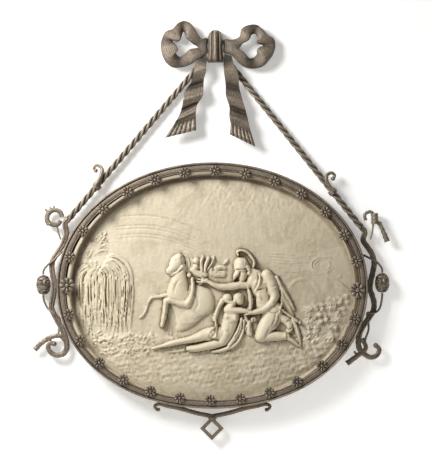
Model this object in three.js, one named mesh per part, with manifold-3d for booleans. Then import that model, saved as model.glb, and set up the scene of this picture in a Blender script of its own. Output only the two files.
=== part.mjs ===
// Oval marble relief in a forged iron frame with rosettes, hung by twisted iron ropes from an iron ribbon bow.
// Millimetres, +Z up, the front faces -Y. The origin is on the wall behind the knot of the bow.
import * as THREE from "three";
import { mergeVertices } from "three/addons/utils/BufferGeometryUtils.js";
import Module from "manifold-3d";

const wasm = await Module();
wasm.setup();

// Frame ring
const frameWidth = 600;
const frameHeight = 475;
const upperFullness = 2.0; // exponent of the oval above its middle, 2 is a true ellipse
const lowerFullness = 2.12; // the lower half is a little fuller
const frameDepth = 38;
const frameWall = 7;
const bandWidth = 16.5;
const bandThickness = 4;
const beadWidth = 4.5;
const beadHeight = 2;
const frameCentreX = -6;
const frameCentreZ = -464;
const backFlange = 30; // the thin flange behind the slab, measured from the outer edge
const ringSteps = 56;

// Marble slab
const marbleSideGap = 12; // between the slab and the inner wall of the ring, at each side
const marbleEndGap = 6; // the same, shared between top and bottom
const marbleBackGap = 2;
const marbleShiftX = 2.5; // the slab sits to the right in the ring, resting on its lower inner wall
const rimWidth = 6;
const coveWidth = 9;
const groundDepth = 16; // from the front of the rim down to the carved ground
const figureSink = 2;
const fullBodyFrom = 9.5; // limbs of a larger radius get rounded ends and eight sides

// Rosettes
const smallPerHalf = 13;
const smallRosetteRadius = 11;
const largeRosetteRadius = 15.5;
const smallRosetteInset = 16.7;
const largeRosetteInset = 20.3;
const rosetteHeight = 6;
const rightRosetteDrop = 8;
const petals = 8;

// Side irons
const barWidth = 11;
const barDepth = 8;
const bracketDepth = 14; // from the wall to the middle of the side irons
const tendrilRadius = 2.1;
const twigRadius = 5.4;
const sideSpread = 72.5; // how far the longest twig stands out from the ring
const budWidth = 29;
const budHeight = 38;
const budDepth = 26;

// Ropes
const ropeRadius = 6.3;
const ropeLobe = 0.82; // radius between the strands as a share of the full radius
const ropeLay = 54; // length of one full turn
const ropeStepsPerTurn = 6;
const ropeTopDepth = 7;
const ropeTopOut = 22.5;
const ropeTopDrop = 27;
const collarLength = 10;
const collarWall = 2.2;
const hookRadius = 3.8;

// Bottom iron
const bottomBarWidth = 9;
const bottomSpread = 224; // between the bends of the curled ends
const diamondHalf = 23;
const diamondBar = 9.5;
const diamondDepth = 7;
const diamondDrop = 40.5;

// Bow
const knotHeight = 62;
const knotDepth = 34;
const knotWaist = 15; // half width at its middle
const loopBackDepth = 14;
const loopThickness = 8;
const loopWave = 3;
const tailDepth = 22;
const tailThickness = 4;
const tailWave = 2.5;
const tailRib = 1.6;
const touchGap = 0.3; // clearance between pieces that touch

const drawnSideSpread = 72.5;
const sideScale = sideSpread / drawnSideSpread; // the side irons are laid out for this spread
const drawnBottomSpread = 224;
const bottomScale = bottomSpread / drawnBottomSpread;
const drawnKnotHeight = 62;
const bowScale = knotHeight / drawnKnotHeight; // the outlines of the bow are given for a knot 62 high
const frameHalfWidth = frameWidth / 2;
const frameHalfHeight = frameHeight / 2;
const marbleHalfWidth = frameHalfWidth - frameWall - marbleSideGap;
const marbleHalfHeight = frameHalfHeight - frameWall - marbleEndGap;
const bandFront = -frameDepth;
const rimFront = bandFront + bandThickness + touchGap;
const groundFront = rimFront + groundDepth;
const marbleDrop = frameHalfHeight - frameWall - touchGap - marbleHalfHeight;

const ironLook = { color: 0x7d6d5d, roughness: 0.62, metalness: 0.55 };
const ropeLook = { color: 0x847767, roughness: 0.6, metalness: 0.5 };
const marbleLook = { color: 0xdccfb0, roughness: 0.55, metalness: 0 };

const part = new THREE.Group();
const frameGroup = new THREE.Group();
frameGroup.position.set(frameCentreX, 0, frameCentreZ);
part.add(frameGroup);

function addPiece(parent, name, geometry, look) {
  const mesh = new THREE.Mesh(geometry, new THREE.MeshStandardMaterial(look));
  mesh.name = name;
  parent.add(mesh);
  return mesh;
}

// Closed body as a manifold, whichever way the faces of the geometry point.
function solidFrom(geometry) {
  const bare = geometry.clone();
  bare.deleteAttribute("normal");
  bare.deleteAttribute("uv");
  const merged = mergeVertices(bare, 1e-4);
  const triVerts = new Uint32Array(merged.index.array);
  const vertProperties = new Float32Array(merged.attributes.position.array);
  const solid = new wasm.Manifold(new wasm.Mesh({ numProp: 3, vertProperties, triVerts }));
  if (solid.volume() > 0) return solid;
  for (let i = 0; i < triVerts.length; i += 3) {
    [triVerts[i + 1], triVerts[i + 2]] = [triVerts[i + 2], triVerts[i + 1]];
  }
  return new wasm.Manifold(new wasm.Mesh({ numProp: 3, vertProperties, triVerts }));
}

function geometryFrom(solid) {
  const mesh = solid.getMesh();
  const points = new Float32Array(mesh.numVert * 3);
  for (let i = 0; i < mesh.numVert; i++) {
    for (let k = 0; k < 3; k++) points[3 * i + k] = mesh.vertProperties[mesh.numProp * i + k];
  }
  const geometry = new THREE.BufferGeometry();
  geometry.setAttribute("position", new THREE.BufferAttribute(points, 3));
  geometry.setIndex(new THREE.BufferAttribute(new Uint32Array(mesh.triVerts), 1));
  return geometry;
}

function joined(geometries) {
  return geometryFrom(geometries.map(solidFrom).reduce((sum, next) => sum.add(next)));
}

// Skin over sections that all have the same number of points. A ring of sections closes on itself,
// an open run of them is capped at both ends from the middle of the end section, which the last cap
// can raise forward by a crown.
function loft(sections, ring = false, crown = 0) {
  const count = sections[0].length;
  const points = sections.flat();
  const triangles = [];
  const runs = ring ? sections.length : sections.length - 1;
  for (let i = 0; i < runs; i++) {
    const here = i * count;
    const next = ((i + 1) % sections.length) * count;
    for (let j = 0; j < count; j++) {
      const k = (j + 1) % count;
      triangles.push(here + j, here + k, next + k, here + j, next + k, next + j);
    }
  }
  if (!ring) {
    [0, sections.length - 1].forEach((end) => {
      const middle = sections[end].reduce((sum, p) => sum.clone().add(p)).divideScalar(count);
      if (end > 0) middle.y -= crown;
      const centre = points.push(middle) - 1;
      for (let j = 0; j < count; j++) {
        const pair = [end * count + j, end * count + ((j + 1) % count)];
        if (end === 0) pair.reverse();
        triangles.push(centre, ...pair);
      }
    });
  }
  const geometry = new THREE.BufferGeometry().setFromPoints(points);
  geometry.setIndex(triangles);
  return geometryFrom(solidFrom(geometry));
}

// Bar along a curve: the section is a list of [across, forward] as shares of the half width and half depth.
const barSection = [[1, 0], [0.55, 1], [-0.55, 1], [-1, 0], [-0.55, -1], [0.55, -1]];
const rodSection = [[1, 0], [0, 1], [-1, 0], [0, -1]];

function sweep(route, steps, section, halfWidth, halfDepth) {
  const curve = new THREE.CatmullRomCurve3(route, false, "centripetal");
  const sections = [];
  for (let i = 0; i <= steps; i++) {
    const share = i / steps;
    const middle = curve.getPointAt(share);
    const along = curve.getTangentAt(share);
    const across = new THREE.Vector3().crossVectors(along, new THREE.Vector3(0, 1, 0)).normalize();
    const forward = new THREE.Vector3().crossVectors(across, along).normalize();
    sections.push(section.map(([a, f]) =>
      middle.clone()
        .addScaledVector(across, a * halfWidth(share))
        .addScaledVector(forward, f * halfDepth(share))));
  }
  return loft(sections);
}

const steady = (size) => () => size;
const tapered = (start, end) => (share) => THREE.MathUtils.lerp(start, end, share);
// Full width for most of the length, then running out to a thin tip.
const tipped = (size, tip, from) => (share) =>
  THREE.MathUtils.lerp(size, tip, THREE.MathUtils.clamp((share - from) / (1 - from), 0, 1));

// Point of an oval at an angle, moved outward along the oval's normal.
function ovalPoint(halfWidth, halfHeight, angle, outward, y) {
  const c = Math.cos(angle);
  const s = Math.sin(angle);
  const power = s < 0 ? lowerFullness : upperFullness;
  const x = halfWidth * Math.sign(c) * Math.abs(c) ** (2 / power);
  const z = halfHeight * Math.sign(s) * Math.abs(s) ** (2 / power);
  const normal = new THREE.Vector3(
    (Math.sign(c) * Math.abs(x / halfWidth) ** (power - 1)) / halfWidth,
    0,
    (Math.sign(s) * Math.abs(z / halfHeight) ** (power - 1)) / halfHeight,
  ).normalize();
  return new THREE.Vector3(x, y, z).addScaledVector(normal, outward);
}

const framePoint = (angle, outward, y) => ovalPoint(frameHalfWidth, frameHalfHeight, angle, outward, y);
const marblePoint = (angle, outward, y) => ovalPoint(marbleHalfWidth, marbleHalfHeight, angle, outward, y);

// Angles that cut the frame's outline between two angles into equal lengths.
function evenAngles(from, to, intervals) {
  const samples = 400;
  const lengths = [0];
  for (let i = 1; i <= samples; i++) {
    const a = framePoint(from + ((to - from) * (i - 1)) / samples, 0, 0);
    const b = framePoint(from + ((to - from) * i) / samples, 0, 0);
    lengths.push(lengths[i - 1] + a.distanceTo(b));
  }
  const angles = [];
  for (let k = 0; k <= intervals; k++) {
    const wanted = (lengths[samples] * k) / intervals;
    const at = Math.max(1, lengths.findIndex((length) => length >= wanted - 1e-9));
    const fraction = (wanted - lengths[at - 1]) / (lengths[at] - lengths[at - 1]);
    angles.push(from + ((to - from) * (at - 1 + fraction)) / samples);
  }
  return angles;
}

const fullTurn = [
  ...evenAngles(0, Math.PI, ringSteps / 2).slice(0, -1),
  ...evenAngles(Math.PI, 2 * Math.PI, ringSteps / 2).slice(0, -1),
];

// Frame ring: wall, bead at the outer edge, a flat band lapping inward and a thin flange at the back.
function frameRing() {
  const flangeFront = touchGap - marbleBackGap;
  const profile = [
    [0, 0],
    [0, bandFront + beadHeight],
    [beadWidth / 2, bandFront - beadHeight],
    [beadWidth, bandFront],
    [bandWidth, bandFront],
    [bandWidth, bandFront + bandThickness],
    [frameWall, bandFront + bandThickness],
    [frameWall, flangeFront],
    [backFlange, flangeFront],
    [backFlange, 0],
  ];
  return loft(fullTurn.map((angle) => profile.map(([inset, y]) => framePoint(angle, -inset, y))), true);
}

addPiece(frameGroup, "frame_ring", frameRing(), ironLook);

// Rosettes: fluted discs with a raised boss, each on the band and over the edge of the marble.
function rosetteGeometry(radius) {
  const tips = petals * 2;
  const ringAt = (share, valley, y) => {
    const ring = [];
    for (let i = 0; i < tips; i++) {
      const reach = radius * share * (i % 2 ? valley : 1);
      const turn = (i * Math.PI * 2) / tips;
      ring.push(new THREE.Vector3(reach * Math.cos(turn), y, reach * Math.sin(turn)));
    }
    return ring;
  };
  const petalHeight = rosetteHeight * 0.65;
  return loft([ringAt(1, 0.88, 0), ringAt(0.86, 0.86, -petalHeight)], false, rosetteHeight - petalHeight);
}

function addRosette(name, angle, radius, inset) {
  const rosette = addPiece(frameGroup, name, rosetteGeometry(radius), ironLook);
  rosette.position.copy(framePoint(angle, -inset, bandFront - touchGap));
}

const leftAngle = Math.PI;
const rightAngle = -Math.asin(rightRosetteDrop / frameHalfHeight);
addRosette("rosette_left", leftAngle, largeRosetteRadius, largeRosetteInset);
addRosette("rosette_right", rightAngle, largeRosetteRadius, largeRosetteInset);
const upperAngles = evenAngles(leftAngle, rightAngle, smallPerHalf + 1).slice(1, -1);
const lowerAngles = evenAngles(leftAngle, 2 * Math.PI + rightAngle, smallPerHalf + 1).slice(1, -1);
[...upperAngles, ...lowerAngles].forEach((angle, i) => {
  addRosette("rosette_" + String(i + 1).padStart(2, "0"), angle, smallRosetteRadius, smallRosetteInset);
});

// Marble slab: flat rim, cove and sunk ground, then the figures.
function marbleSlab() {
  const rows = [
    [0, -marbleBackGap],
    [0, rimFront],
    [rimWidth, rimFront],
    [rimWidth + coveWidth * 0.25, rimFront + groundDepth * 0.6],
    [rimWidth + coveWidth, groundFront],
  ];
  return loft(rows.map(([inset, y]) => fullTurn.map((angle) => marblePoint(angle, -inset, y))));
}

// The carving is laid out in millimetres from the middle of the frame, for a slab of its drawn half height.
const drawnHalfHeight = 224.5;
const carvingScale = marbleHalfHeight / drawnHalfHeight;

// Tapering limb lying on the ground: [x, z, radius] at each end, and how far it stands proud.
function limb([x1, z1, r1], [x2, z2, r2], proud) {
  const length = Math.hypot(x2 - x1, z2 - z1);
  const corner = Math.SQRT1_2;
  const widest = Math.max(r1, r2);
  const fullBody = widest > fullBodyFrom;
  const profile = [new THREE.Vector2(0, -r1), new THREE.Vector2(r1, 0), new THREE.Vector2(r2, length)];
  if (fullBody) profile.splice(1, 0, new THREE.Vector2(r1 * corner, -r1 * corner));
  if (fullBody) profile.push(new THREE.Vector2(r2 * corner, length + r2 * corner));
  profile.push(new THREE.Vector2(0, length + r2));
  const geometry = new THREE.LatheGeometry(profile, fullBody ? 8 : 6);
  const along = new THREE.Vector3(x2 - x1, 0, z2 - z1).normalize();
  const depth = new THREE.Vector3(0, 1, 0);
  const across = new THREE.Vector3().crossVectors(along, depth);
  const flatten = (proud + figureSink) / widest;
  const place = new THREE.Matrix4().makeBasis(across, along, depth.multiplyScalar(flatten));
  place.setPosition(x1, figureSink, z1);
  return geometry.applyMatrix4(place);
}

function ball([x, z, r], proud) {
  const geometry = new THREE.SphereGeometry(r, 7, 4);
  geometry.scale(1, (proud + figureSink) / r, 1);
  return geometry.translate(x, figureSink, z);
}

const horse = [
  limb([-70, -7, 20], [-24, -28, 26], 12),
  limb([-29, -38, 25], [-50, -71, 18], 11),
  limb([-50, -71, 17], [-64, -88, 10], 7),
  limb([-54, 45, 12], [-70, 3, 19], 12),
  limb([-62, 44, 11.5], [-70, 52, 9], 13.5),
  limb([-68, 49, 9.5], [-85, 28, 6], 13),
  limb([-75, 29, 5], [-79, 18, 3], 11),
  limb([-59, 58, 3.5], [-57, 68, 1.6], 9),
  limb([-52, -30, 8], [-87, -24, 7], 15),
  limb([-88, -26, 6], [-95, -59, 4], 14),
  limb([-96, -61, 4.2], [-97, -76, 5], 13),
  limb([-50, -32, 6.5], [-39, -7, 5], 15),
  limb([-39, -7, 4.8], [-42, 18, 4.6], 14),
  ball([-34, 45, 6.5], 8),
  ball([-34, 35, 6], 7),
  limb([-25, 27, 4], [-12, 53, 3], 6),
  limb([-18, 26, 4], [0, 51, 3], 6),
  limb([-4, 33, 7], [22, 31, 7], 5),
];

const woman = [
  ball([46, -24, 10], 15),
  ball([31, -20, 8.3], 13),
  limb([42, -34, 6], [36, -42, 7], 13),
  limb([34, -51, 12.5], [27, -73, 13], 13.5),
  ball([40, -58, 6], 16),
  ball([26, -59, 6], 15.5),
  limb([26, -75, 13.5], [23, -94, 12.5], 13),
  limb([42, -46, 6], [67, -47, 4.6], 15),
  limb([72, -42, 5], [72, -16, 3], 13),
  limb([7, -82, 14.5], [-33, -94, 11.5], 14),
  limb([-35, -95, 10], [-87, -113, 4.6], 12),
  limb([-91, -114, 4.2], [-111, -119, 3.5], 9),
  limb([-111, -119, 3.5], [-126, -125, 2.5], 6),
  limb([19, -105, 11.5], [-18, -114, 9.2], 13),
  limb([-18, -115, 8.5], [-47, -122, 4.6], 10),
  limb([19, -40, 7.5], [8, -71, 4.8], 7),
  ball([0, -89, 7], 12),
  limb([55, -63, 5], [27, -111, 6], 7),
];

const warrior = [
  limb([53, 41, 15.6], [54, 36, 14], 16),
  limb([45, 33, 7.7], [42, 14, 3], 15),
  limb([50, 66, 3], [62, 66, 4.2], 12),
  limb([62, 66, 4.4], [75, 54, 4.4], 13),
  limb([75, 54, 4.4], [75, 39, 3.4], 13),
  ball([56, 20, 8], 14),
  limb([80, 26, 10], [86, -5, 12], 13),
  limb([96, 17, 10], [107, -17, 7.3], 15.5),
  limb([108, -23, 7], [81, -47, 5], 16.5),
  limb([79, -48, 5], [63, -53, 3.5], 16),
  limb([88, 0, 15], [96, -29, 14.5], 12),
  limb([104, -40, 15.5], [111, -55, 14.5], 12.5),
  limb([112, -56, 14.5], [95, -96, 10], 15),
  limb([95, -100, 9.2], [136, -96, 6.5], 13),
  limb([138, -97, 5.8], [163, -110, 4], 10),
  limb([59, 3, 7.2], [15, -4, 6.3], 14),
  limb([15, -4, 6.1], [-10, 5, 4.6], 13),
  limb([-12, 6, 5], [-25, 8, 4.6], 12),
  limb([130, -59, 8], [156, -73, 8], 7),
  limb([156, -73, 8], [166, -101, 6], 7),
  limb([107, 27, 6], [129, -9, 8.7], 8),
  limb([129, -9, 8.7], [152, -38, 9], 7),
  limb([133, -36, 2.6], [126, -53, 2.4], 11),
  limb([132, -47, 3.2], [159, -64, 3.4], 9),
  limb([68, -63, 6], [69, -90, 5], 7),
];

function landscape() {
  const pieces = [
    limb([-222, 5, 4.5], [-216, 35, 5.5], 6),
    limb([-238, 30, 12], [-182, 40, 14], 5),
    limb([-236, 70, 4], [-208, 99, 4], 4),
    limb([-215, -104, 9], [-170, -114, 10], 4),
    limb([-178, -115, 10], [-96, -122, 8], 3),
    limb([133, -118, 9], [200, -116, 10], 4),
    limb([200, -78, 13], [236, -52, 11], 4),
  ];
  const frondCount = 5;
  for (let i = 0; i < frondCount; i++) {
    const x = -246 + i * 23;
    pieces.push(limb([x, 18, 8], [x, i ? -88 : -40, 6], 5));
  }
  return pieces;
}

function marbleRelief() {
  const carved = [...landscape(), ...horse, ...woman, ...warrior].map((geometry) => {
    geometry.scale(carvingScale, 1, carvingScale);
    return geometry.translate(-marbleShiftX, groundFront, marbleDrop);
  });
  const slab = solidFrom(marbleSlab());
  const depths = [groundFront + 2 * figureSink, rimFront];
  const inside = solidFrom(loft(depths.map((y) => fullTurn.map((angle) => marblePoint(angle, -rimWidth, y)))));
  const figures = carved.map(solidFrom).reduce((sum, next) => sum.add(next));
  return geometryFrom(slab.add(figures.intersect(inside)));
}

const marble = addPiece(frameGroup, "marble_relief", marbleRelief(), marbleLook);
marble.position.set(marbleShiftX, 0, -marbleDrop);

// Side irons follow the frame: degrees below its widest point, then millimetres outward from its edge.
const barTouch = barWidth / 2 + touchGap;

function sidePoint(side, down, outward, forward = 0) {
  const angle = side < 0 ? Math.PI + THREE.MathUtils.degToRad(down) : -THREE.MathUtils.degToRad(down);
  const reach = outward > barTouch ? barTouch + (outward - barTouch) * sideScale : outward;
  return framePoint(angle, reach, -bracketDepth - forward);
}

const sides = {
  left: {
    side: -1,
    foot: [-29.3, 21],
    bar: [[-24.1, 10.5], [-19.3, 6.6], [-15.4, 9.5], [-10.2, 15.6], [-6.4, 13.4], [0.1, barTouch + 0.2],
      [4.8, 10.3], [9.1, 15.8], [13.4, 12.3], [19.2, 8], [24.2, 10], [27.5, 18], [28.4, 29], [27.2, 42],
      [25, 48], [23, 46.5], [22.3, 39], [23.2, 33.5]],
    bud: [-0.1, 28],
    tendrilTop: [[-16, tendrilRadius + touchGap, 0], [-11.2, 13, 1], [-8.4, 23, 1]],
    tendrilFoot: [[8.8, 23.8, 0], [11.4, 13, 1], [14.5, 5, 0.3], [17.6, 12.2, -0.6],
      [21, 18, 0], [23.6, 14, 0]],
    twig: [[24, 12], [21.6, 15.5], [20.3, 30], [20.5, 47], [21.2, 62], [22, 72.5]],
    twigStub: [[20.4, 36], [22, 38.2]],
    collarUp: 84,
    hook: [[0, 2, 1], [14, 4.5, 1], [25, 8, 0.9], [31, 12, 0.7], [33, 19.5, 0.5], [29.5, 27, 0.4],
      [22.5, 26.5, 0.4], [21.3, 20.5, 0.4]],
  },
  right: {
    side: 1,
    foot: [-25.4, 20.5],
    bar: [[-20.2, 12.4], [-17.2, 14.3], [-13.6, 18.6], [-9.6, 18.7], [-5.9, 13.3], [-2, 7.6], [1.7, barTouch + 0.2],
      [3.8, 10.3], [6.8, 15.8], [9.9, 17.2], [13.2, 12.7], [16.8, 7.4], [21.1, barTouch + 0.7],
      [24.3, 9.5], [27.2, 20.2], [27.9, 34], [27.5, 48], [25.4, 55.5], [23.4, 53], [22.8, 44]],
    bud: [-0.9, 29.5],
    tendrilTop: [[-14, tendrilRadius + touchGap, 0], [-11.6, 13.6, 1], [-9.6, 24, 0]],
    tendrilFoot: [[8.8, 28.2, 0], [10.6, 22, 0.6], [11.2, 14, 1], [11.6, 6.5, 0.4],
      [15.6, 14, 0], [18.6, 19, 0], [22, 20.3, 0], [24.4, 23, 0]],
    twig: [[22.8, 14], [25.5, 29.5], [28.1, 26.6], [31.5, 21.6], [35.2, 17]],
    twigStub: [[29.8, 24], [29.3, 13.5]],
    collarUp: 88,
    hook: [[0, 2, 1], [16, 1.5, 1], [27, 5, 1], [32.5, 13, 0.7], [29.5, 21.5, 0.5], [22, 22.5, 0.4],
      [19.5, 16.5, 0.4]],
  },
};

const ropeTop = (side) => new THREE.Vector3(side * ropeTopOut, -ropeTopDepth, -ropeTopDrop * bowScale);

function ropeFoot(plan) {
  return sidePoint(plan.side, ...plan.foot).add(frameGroup.position);
}

function ropeDirection(plan) {
  return ropeFoot(plan).sub(ropeTop(plan.side)).normalize();
}

// Three strands laid round each other: a lobed section that turns along the rope.
function ropeGeometry(plan) {
  const top = ropeTop(plan.side);
  const foot = ropeFoot(plan);
  const along = ropeDirection(plan);
  const across = new THREE.Vector3().crossVectors(along, new THREE.Vector3(0, 1, 0)).normalize();
  const forward = new THREE.Vector3().crossVectors(across, along);
  const length = top.distanceTo(foot);
  const steps = Math.round((length / ropeLay) * ropeStepsPerTurn);
  const sections = [];
  for (let i = 0; i <= steps; i++) {
    const middle = top.clone().lerp(foot, i / steps);
    const turn = (2 * Math.PI * length * i) / (ropeLay * steps);
    const section = [];
    for (let k = 0; k < 6; k++) {
      const reach = ropeRadius * (k % 2 ? ropeLobe : 1);
      const angle = turn + (k * Math.PI) / 3;
      section.push(middle.clone()
        .addScaledVector(across, reach * Math.cos(angle))
        .addScaledVector(forward, reach * Math.sin(angle)));
    }
    sections.push(section);
  }
  return loft(sections);
}

// Place on a rope: upward from its foot, outward from its axis, and forward by shares of clear passage.
function ropePlace(plan, up, outward, forward) {
  const along = ropeDirection(plan).negate();
  const out = new THREE.Vector3().crossVectors(along, new THREE.Vector3(0, 1, 0)).normalize();
  if (out.x * plan.side < 0) out.negate();
  const front = new THREE.Vector3().crossVectors(along, out).normalize();
  if (front.y > 0) front.negate();
  return ropeFoot(plan)
    .addScaledVector(along, up)
    .addScaledVector(out, outward)
    .addScaledVector(front, forward * (ropeRadius + hookRadius + touchGap));
}

function ropeHookGeometry(plan) {
  const bore = ropeRadius + touchGap;
  const half = collarLength / 2;
  const outer = bore + collarWall;
  const profile = [[bore, -half], [outer, -half], [outer + 0.8, 0], [outer, half], [bore, half], [bore, -half]];
  const collar = new THREE.LatheGeometry(profile.map(([r, y]) => new THREE.Vector2(r, y)), 10);
  const along = ropeDirection(plan).negate();
  const turn = new THREE.Quaternion().setFromUnitVectors(new THREE.Vector3(0, 1, 0), along);
  collar.applyQuaternion(turn);
  collar.translate(...ropePlace(plan, plan.collarUp, 0, 0).toArray());
  const stemStart = plan.hook[0][2] ? 0 : bore + hookRadius;
  const route = plan.hook.map(([up, outward, forward], i) =>
    ropePlace(plan, plan.collarUp + up, i ? outward : Math.max(outward, stemStart), forward));
  const stem = sweep(route, 12, rodSection, tipped(hookRadius, 2.8, 0.3), tipped(hookRadius, 2.8, 0.3));
  return joined([collar, stem]);
}

function barGeometry(plan) {
  const down = ropeDirection(plan);
  const start = ropeFoot(plan).sub(frameGroup.position);
  const route = [
    start.clone().addScaledVector(down, touchGap),
    start.clone().addScaledVector(down, barWidth),
    ...plan.bar.map(([angle, outward]) => sidePoint(plan.side, angle, outward)),
  ];
  return sweep(route, 30, barSection, tipped(barWidth / 2, 4.4, 0.8), tipped(barDepth / 2, 3.4, 0.8));
}

// Tendril offsets of 1 lie on the front of the bar, pressed half a millimetre into the weld.
function tendrilRoute(plan, points) {
  const onBar = barDepth / 2 + tendrilRadius - 0.8;
  return points.map(([down, outward, front]) => sidePoint(plan.side, down, outward, front * onBar));
}

function bracketGeometry(plan) {
  const bud = sidePoint(plan.side, ...plan.bud);
  const budReach = budHeight / 2 + touchGap + 0.4;
  const nearBud = (reach) => bud.clone().add(new THREE.Vector3(0, 0, reach));
  const intoBud = [nearBud(budReach + 7), nearBud(budReach)];
  const fromBud = [nearBud(-budReach), nearBud(-budReach - 7)];
  const rod = steady(tendrilRadius);
  const upper = sweep([...tendrilRoute(plan, plan.tendrilTop), ...intoBud], 9, rodSection, rod, rod);
  const lower = sweep([...fromBud, ...tendrilRoute(plan, plan.tendrilFoot)], 16, rodSection, rod, rod);
  const twigRoute = plan.twig.map(([down, outward]) => sidePoint(plan.side, down, outward));
  const twig = sweep(twigRoute, 9, barSection, tapered(twigRadius * 0.75, twigRadius), tapered(3.4, 4));
  const stubRoute = plan.twigStub.map(([down, outward]) => sidePoint(plan.side, down, outward));
  const stub = sweep(stubRoute, 1, rodSection, steady(2.6), steady(2.6));
  return joined([barGeometry(plan), upper, lower, twig, stub]);
}

function budGeometry() {
  const ribs = 4;
  const profile = [new THREE.Vector2(0, -1)];
  for (let i = 1; i < ribs * 2; i++) {
    const turn = (i * Math.PI) / (ribs * 2);
    const swell = i % 2 ? 1 : 0.9;
    profile.push(new THREE.Vector2(Math.sin(turn) * swell, -Math.cos(turn)));
  }
  profile.push(new THREE.Vector2(0, 1));
  const geometry = new THREE.LatheGeometry(profile, 8);
  geometry.scale(budWidth / 2, budHeight / 2, budDepth / 2);
  return geometryFrom(solidFrom(geometry.rotateX(Math.PI / 2)));
}

// Frayed rope ends, in millimetres from the foot of the rope: across to the outside, then up.
function knotRoute(plan, points) {
  const foot = ropeFoot(plan);
  return points.map(([out, up, back]) =>
    new THREE.Vector3(foot.x + plan.side * out, foot.y + (back || 0), foot.z + up));
}

function leftRopeKnot(plan) {
  const curl = knotRoute(plan, [[13.4, 4], [15.6, 12], [23, 17], [33, 16], [41, 8], [42, -3], [37, -11]]);
  const lobe = knotRoute(plan, [[15.6, -3], [20, -10], [28, -11.5], [37, -9]]);
  const spike = knotRoute(plan, [[28, 18], [29.5, 26.5]]);
  const fray = knotRoute(plan, [[39, 12], [46, 19]]);
  const stem = knotRoute(plan, [[23, -10], [21, -24], [15.4, -40]]);
  return joined([
    sweep(curl, 9, barSection, tapered(4.4, 5.6), tapered(4.4, 5.6)),
    sweep(lobe, 5, barSection, tapered(4.2, 5.2), steady(4.6)),
    sweep(spike, 1, rodSection, tapered(3, 1.2), tapered(3, 1.2)),
    sweep(fray, 1, rodSection, tapered(3.5, 2), tapered(3.5, 2)),
    sweep(stem, 5, rodSection, steady(1.8), steady(1.8)),
  ]);
}

function rightRopeKnot(plan) {
  const arch = knotRoute(plan, [[9, 13], [7, 24], [17, 30], [26, 24]]);
  const core = knotRoute(plan, [[26, 27], [27, 6]]);
  const tail = knotRoute(plan, [[30, 12], [38, 3], [45, -13], [51, -28]]);
  const spike = knotRoute(plan, [[33, 9], [41, 9]]);
  const stem = knotRoute(plan, [[24, 10], [22, -7], [18, -24]]);
  return joined([
    sweep(arch, 7, barSection, steady(3.3), steady(3.3)),
    sweep(core, 3, barSection, steady(7.5), steady(7)),
    sweep(tail, 6, barSection, tapered(3.2, 6.5), tapered(3.2, 5)),
    sweep(spike, 1, rodSection, tapered(3, 1.2), tapered(3, 1.2)),
    sweep(stem, 4, rodSection, steady(1.8), steady(1.8)),
  ]);
}

const ropeKnots = { left: leftRopeKnot, right: rightRopeKnot };
for (const [name, plan] of Object.entries(sides)) {
  addPiece(frameGroup, name + "_bracket", bracketGeometry(plan), ironLook);
  const bud = addPiece(frameGroup, name + "_bud", budGeometry(), ironLook);
  bud.position.copy(sidePoint(plan.side, ...plan.bud));
  addPiece(part, name + "_rope", ropeGeometry(plan), ropeLook);
  addPiece(part, name + "_rope_hook", ropeHookGeometry(plan), ironLook);
  addPiece(part, name + "_rope_knot", ropeKnots[name](plan), ropeLook);
}

// Bottom iron: two bars that cross under the frame, with curled ends, and an open diamond.
function underFrame(x, below) {
  const share = Math.abs(x / frameHalfWidth) ** lowerFullness;
  return new THREE.Vector3(x, -bracketDepth, -frameHalfHeight * (1 - share) ** (1 / lowerFullness) - below);
}

function bottomBracket() {
  const touch = bottomBarWidth / 2 + touchGap;
  const arm = [[8, 21], [0, 17.6], [30, 12], [55, 7.2], [72, touch + 0.4], [88, touch + 0.4], [104, 5.6],
    [112, 12], [106, 19]];
  const halfBar = bottomBarWidth / 2;
  const bars = [-1, 1].map((side) => {
    const route = arm.map(([x, below], i) => underFrame((i ? side : -side) * x * bottomScale, below));
    return sweep(route, 16, barSection, tipped(halfBar, 2.4, 0.75), steady(barDepth / 2));
  });
  const outline = new THREE.Shape();
  const opening = new THREE.Path();
  const innerHalf = diamondHalf - diamondBar;
  for (let i = 0; i < 4; i++) {
    const turn = (i * Math.PI) / 2;
    const method = i ? "lineTo" : "moveTo";
    outline[method](diamondHalf * Math.cos(turn), diamondHalf * Math.sin(turn));
    opening[method](innerHalf * Math.cos(turn), innerHalf * Math.sin(turn));
  }
  outline.closePath();
  opening.closePath();
  outline.holes.push(opening);
  const diamond = new THREE.ExtrudeGeometry(outline, { depth: diamondDepth, bevelEnabled: false });
  diamond.rotateX(Math.PI / 2);
  diamond.translate(-1, -bracketDepth + diamondDepth / 2, underFrame(0, diamondDrop).z);
  return joined([...bars, diamond]);
}

addPiece(frameGroup, "bottom_bracket", bottomBracket(), ironLook);

// Knot of the bow: a fluted wrap with a flat back on the wall.
function bowKnot() {
  const heights = [31, 28, 20, 8, -4, -16, -25, -31];
  const widths = [0.36, 0.7, 0.97, 1, 0.95, 1.02, 1.15, 0.95];
  const depths = [0.55, 0.8, 0.96, 1, 1, 0.98, 0.94, 0.86];
  const flutes = 10;
  const sections = heights.map((z, row) => {
    const half = knotWaist * widths[row];
    const section = [];
    for (let i = 0; i <= flutes; i++) {
      const turn = Math.PI * (i / flutes);
      const groove = i % 2 ? 0.9 : 1;
      const depth = knotDepth * depths[row] * Math.sin(turn) ** 0.7 * groove;
      section.push(new THREE.Vector3(-half * Math.cos(turn), -depth, z * bowScale));
    }
    return section;
  });
  return loft(sections);
}

addPiece(part, "bow_knot", bowKnot(), ironLook);

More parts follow.
